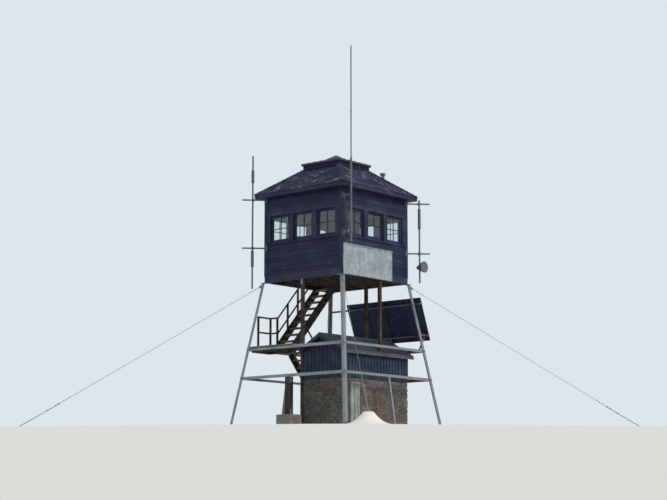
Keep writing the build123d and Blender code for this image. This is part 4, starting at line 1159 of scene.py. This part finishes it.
def addDisc(build, x, y, low, high, radius, endRadius=None):
    addRod(build, (x, y, low), (x, y, high), radius, endRadius, 16)


for mast in masts["sides"]:
    side = mast["side"]
    spot, along = side * masts["half"], side * masts["boltAt"]
    start, near, wall = (side * size for size in masts["plate"])
    for z in mast["arms"]:
        addClamp(build, spot, spot, z, (side, side), masts["arm"])
        low, high = z - masts["plateHalf"], z + masts["plateHalf"]
        for order in (1, -1):    # on both walls of the corner
            for level in (-masts["boltApart"], masts["boltApart"]):
                addBolt(build, (*(along, wall)[::order], z + level), (*(0, side)[::order], 0), masts["bolt"])
            addBoard(build, (*(start, near)[::order], low), (wall, wall, high))
mainX, mainY = mainMast["x"], mainMast["y"]
for z in mainMast["arms"]:
    addClamp(build, mainX, mainY, z, (1, 0), mainMast["arm"])
    (near, far), half = mainMast["plateX"], mainMast["plateHalf"]
    low, high = z - masts["plateHalf"], z + masts["plateHalf"]
    addBoard(build, (near, mainY - half, low), (far, mainY + half, high))
    for level in (-mainMast["boltApart"], mainMast["boltApart"]):
        addBolt(build, (far, mainY, z + level), (1, 0, 0), masts["bolt"])
for mast in masts["sides"]:
    spot = mast["side"] * masts["half"]
    reach, wide, narrow = masts["end"]
    bandLow, bandHigh, bandRadius = masts["band"]
    for low, high in mast["aerials"]:    # a tapered cap and a band at each end
        addDisc(build, spot, spot, high, high + reach, wide, narrow)
        addDisc(build, spot, spot, low, low - reach, wide, narrow)
        addDisc(build, spot, spot, low + bandLow, low + bandHigh, bandRadius)
        addDisc(build, spot, spot, high - bandHigh, high - bandLow, bandRadius)
for x, length, radius, endRadius, tone in horn["discs"]:
    ends = [(x + reach, masts["half"], horn["z"]) for reach in (0, length)]
    addRod(build, *ends, radius, endRadius, 32, tone=tone)
for low, high, radius in mainMast["couplings"]:
    addDisc(build, mainX, mainY, low, high, radius, radius * mainMast["taper"])
for mast in masts["sides"]:
    spot, (reach, wide, narrow) = mast["side"] * masts["half"], masts["cap"]
    addDisc(build, spot, spot, mast["top"], mast["top"] + reach, wide, narrow)
makePiece("mastFittings", build, "mastPaint")
print("masts done")

# Guys: seven-wire strand from lug to turnbuckle, with clips, shackles, turnbuckles, rods and plates.
# An eye is its step along the guy, its radius and its bar's.
guys = {"wire": 0.0023, "helix": 0.0042, "lay": 0.11, "stepsPerTurn": 6, "thimble": (-0.03, 0.07),
        "thimbleRadii": (0.013, 0.009), "shackle": (-0.02, 0.03, 0.009), "pinAt": -0.05, "pinHalf": 0.028,
        "pin": 0.011, "buckleEye": (0.03, 0.024, 0.008), "rodEye": (-0.02, 0.022, 0.008), "rod": 0.012,
        "rodStart": -0.004, "rodEndZ": 0.012, "footEye": (-0.03, 0.026, 0.009), "footEyeZ": 0.02,
        "plateHalf": 0.08, "plateCut": 0.022, "plateTop": 0.03, "plateBolt": 0.022, "boltReach": 0.055}
clip = {"places": (0.16, 0.25, 0.34), "bow": 0.012, "bar": 0.004, "saddle": (-0.02, 0.02, -0.012, 0.012),
        "under": 0.006, "thick": 0.01, "nut": 0.011}
# Turnbuckle's screws, side bars and nuts: from, to, how far aside, and the radius at each end.
# A distance below nought is measured back from the turnbuckle's far end.
buckleRods = ((0.055, 0.17, 0, 0.008, 0.008), (-0.17, -0.04, 0, 0.008, 0.008),
              (0.1, -0.1, -0.019, 0.0085, 0.0085), (0.1, -0.1, 0.019, 0.0085, 0.0085),
              (0.09, 0.13, 0, 0.024, 0.021), (-0.13, -0.09, 0, 0.024, 0.021))
strands, hardware = newBuild(), newBuild()


def addEye(spot, axis, line, eye):
    place, radius, bar = eye
    addBow(hardware, spot + line * place, axis, line, radius, bar, 2 * pi)


(headHalf, headZ), (footHalf, footZ) = tower["guyHead"], tower["guyFoot"]
for corner in corners:
    head = Vector(atCorner(corner, headHalf, headHalf, headZ))
    foot = Vector(atCorner(corner, footHalf, footHalf, footZ))
    line = (foot - head).normalized()
    length = (foot - head).length - tower["turnbuckle"] - tower["anchorRod"]
    level = Vector((corner[1], -corner[0], 0)).normalized()
    upright = line.cross(level)
    first = head + line * length
    last = first + line * tower["turnbuckle"]
    steps = int(length / guys["lay"] * guys["stepsPerTurn"])
    for wire in range(6):
        path = []
        for i in range(steps + 1):
            turn = 2 * pi * (i / guys["stepsPerTurn"] + wire / 6)
            spot = head + line * length * i / steps
            path.append(spot + level * guys["helix"] * cos(turn) + upright * guys["helix"] * sin(turn))
        addPath(strands, path, guys["wire"], sides=4)
    addPath(strands, [head, first], guys["wire"], sides=4)
    for end, sense in ((head, 1), (first, -1)):    # clips and a thimble at each end of the strand
        for place in clip["places"]:
            spot = end + line * sense * place
            addBow(hardware, spot, line, level, clip["bow"], clip["bar"], sides=6)
            seat = spot - upright * clip["under"]
            saddle = [seat + level * a + line * b for a, b in rectangle(*clip["saddle"])]
            addPrism(hardware, saddle, -upright * clip["thick"], level)
            for side in (-1, 1):
                nut = seat + level * side * clip["bow"] - upright * clip["thick"]
                addBolt(hardware, nut, -upright, clip["nut"])
        ends = [end + line * sense * place for place in guys["thimble"]]
        addRod(hardware, *ends, *guys["thimbleRadii"])
    # shackle and its pin on the lug
    addEye(head, level, line, guys["shackle"])
    pin, half = head + line * guys["pinAt"], level * guys["pinHalf"]
    addRod(hardware, pin - half, pin + half, guys["pin"])
    # turnbuckle
    addEye(first, level, line, guys["buckleEye"])
    for start, end, aside, radius, endRadius in buckleRods:
        ends = [(first if place > 0 else last) + line * place + level * aside for place in (start, end)]
        addRod(hardware, *ends, radius, endRadius)
    # anchor rod with an eye at each end, and its plate
    addEye(last, upright, line, guys["rodEye"])
    addRod(hardware, last + line * guys["rodStart"], foot + Vector((0, 0, guys["rodEndZ"])), guys["rod"])
    addEye(foot + Vector((0, 0, guys["footEyeZ"])), level, line, guys["footEye"])
    outline = cutSquare(guys["plateHalf"], guys["plateHalf"], guys["plateCut"])
    addPrism(hardware, [(foot.x + dx, foot.y + dy, 0.0) for dx, dy in outline], (0, 0, guys["plateTop"]))
    for dx, dy in ((-1, 0), (1, 0), (0, -1), (0, 1)):
        spot = (foot.x + dx * guys["boltReach"], foot.y + dy * guys["boltReach"], guys["plateTop"])
        addBolt(hardware, spot, (0, 0, 1), guys["plateBolt"])
makePiece("guyStrands", strands, "strandSteel", replaced="guys")
makePiece("guyHardware", hardware, "galvanisedSteel", bevel=0.0015,
          replaced="guy_anchors")
print("guys done")

# Stage: a pale rounded knoll, level under the tower and falling away round it, because the view is from below
stage = {"flat": 3.5, "fall": 3.1, "rounding": 0.6, "floor": "#dcdcd8", "sky": "#dde6ec", "light": "#e3e9ee",
         "lightStrength": 0.62, "riseTop": 0.13, "riseSkirt": 0.5, "riseCurve": 2.2}


def knollZ(x, y):
    beyond, rounding = max(hypot(x, y) - stage["flat"], 0.0), stage["rounding"]
    return -tan(radians(stage["fall"])) * (beyond - rounding * (1 - exp(-beyond / rounding)))


def addRing(mesh, centre, radius, count, height):
    # a ring of points round centre, each at the height that its place gives
    spots = [(centre[0] + radius * cos(2 * pi * k / count), centre[1] + radius * sin(2 * pi * k / count))
             for k in range(count)]
    return [mesh.verts.new((x, y, height(x, y))) for x, y in spots]


def stagePiece(name, mesh, rings, material):
    for near, far in zip(rings, rings[1:]):
        count = len(near)
        for k in range(count):
            mesh.faces.new((near[k], far[k], far[(k + 1) % count], near[(k + 1) % count]))
    data = bpy.data.meshes.new(name)
    mesh.to_mesh(data)
    mesh.free()
    data.shade_smooth()
    data.materials.append(material)
    piece = bpy.data.objects.new(name, data)
    bpy.context.scene.collection.objects.link(piece)


# matt pale paint: a plain floor with no shine
floorPaint = newFinish("floorPaint", {"Roughness": 0.9, "Base Color": hexColour(stage["floor"])})[0]
floor = bmesh.new()
radii = [0.5 * k for k in range(1, 7)] + [3.4 + 0.15 * k for k in range(10)]
radii += [5 + 0.9 * k for k in range(40)] + [41 + 6 * k for k in range(10)]
rings = [addRing(floor, (0, 0), radius, 96, knollZ) for radius in radii]
floor.faces.new(rings[0])
stagePiece("floor", floor, rings, floorPaint)

# small rises that carry the guys' plates, level with the tower's foot
for corner in corners:
    rise, rings = bmesh.new(), []
    for share in [step / 16 for step in range(17)]:
        centre, radius = [side * footHalf for side in corner], stage["riseTop"] + stage["riseSkirt"] * share
        fall = 1 - (1 - share) ** stage["riseCurve"]    # level at its top, then down to the knoll
        rings.append(addRing(rise, centre, radius, 40, lambda x, y: (knollZ(x, y) - 0.004) * fall - 0.0005))
    rise.faces.new(rings[0])
    stagePiece("rise{}{}".format(*corner).replace("-", "m"), rise, rings, floorPaint)

# Soft even light from the sky, which the camera, glossy faces and glass see as a plain pale backdrop
world = bpy.data.worlds.new("studio")
bpy.context.scene.world = world
world.use_nodes = True
tree = world.node_tree
tree.nodes.clear()
path = addNode(tree, "LightPath")
seen = path.outputs["Is Camera Ray"]
for ray in ("Is Glossy Ray", "Is Transmission Ray"):
    seen = addNode(tree, "Math", {"operation": "MAXIMUM"}, {0: seen, 1: path.outputs[ray]}).outputs[0]
light = addNode(tree, "Background", {"Color": hexColour(stage["light"]), "Strength": stage["lightStrength"]})
backdrop = addNode(tree, "Background", {"Color": hexColour(stage["sky"]), "Strength": 1.0})
mixed = addNode(tree, "MixShader", {}, {0: seen, 1: light.outputs[0], 2: backdrop.outputs[0]})
addNode(tree, "OutputWorld", {}, {"Surface": mixed.outputs[0]})

lamps = {
    "key": {"from": (1.0, 0.05, 0.8), "strength": 2.3, "softness": 14, "colour": "#fff6ea"},
    "fill": {"from": (-0.6, -1.0, 0.5), "strength": 0.3, "softness": 60, "colour": "#e8efff"},
}
for name, lamp in lamps.items():
    data = bpy.data.lights.new(name, "SUN")
    data.energy = lamp["strength"]
    data.angle = radians(lamp["softness"])
    data.color = hexColour(lamp["colour"])[:3]
    lampObject = bpy.data.objects.new(name, data)
    lampObject.rotation_euler = Vector(lamp["from"]).to_track_quat("Z", "Y").to_euler()
    bpy.context.scene.collection.objects.link(lampObject)

# Camera where the photograph was taken from, on a longer lens and tipped up to hold the tower
view = {"place": (32.34, -38.13, -2.45), "azimuth": 40.4, "tip": 9.0, "lens": 90}
data = bpy.data.cameras.new("camera")
data.lens = view["lens"]
data.sensor_width = 36
data.clip_end = 400
camera = bpy.data.objects.new("camera", data)
camera.location = view["place"]
turn, tip = radians(view["azimuth"]), radians(view["tip"])
forward = Vector((-sin(turn) * cos(tip), cos(turn) * cos(tip), sin(tip)))
camera.rotation_euler = forward.to_track_quat("-Z", "Y").to_euler()
bpy.context.scene.collection.objects.link(camera)
bpy.context.scene.camera = camera
bpy.context.scene.view_settings.view_transform = "Standard"
print("stage, light and camera done")
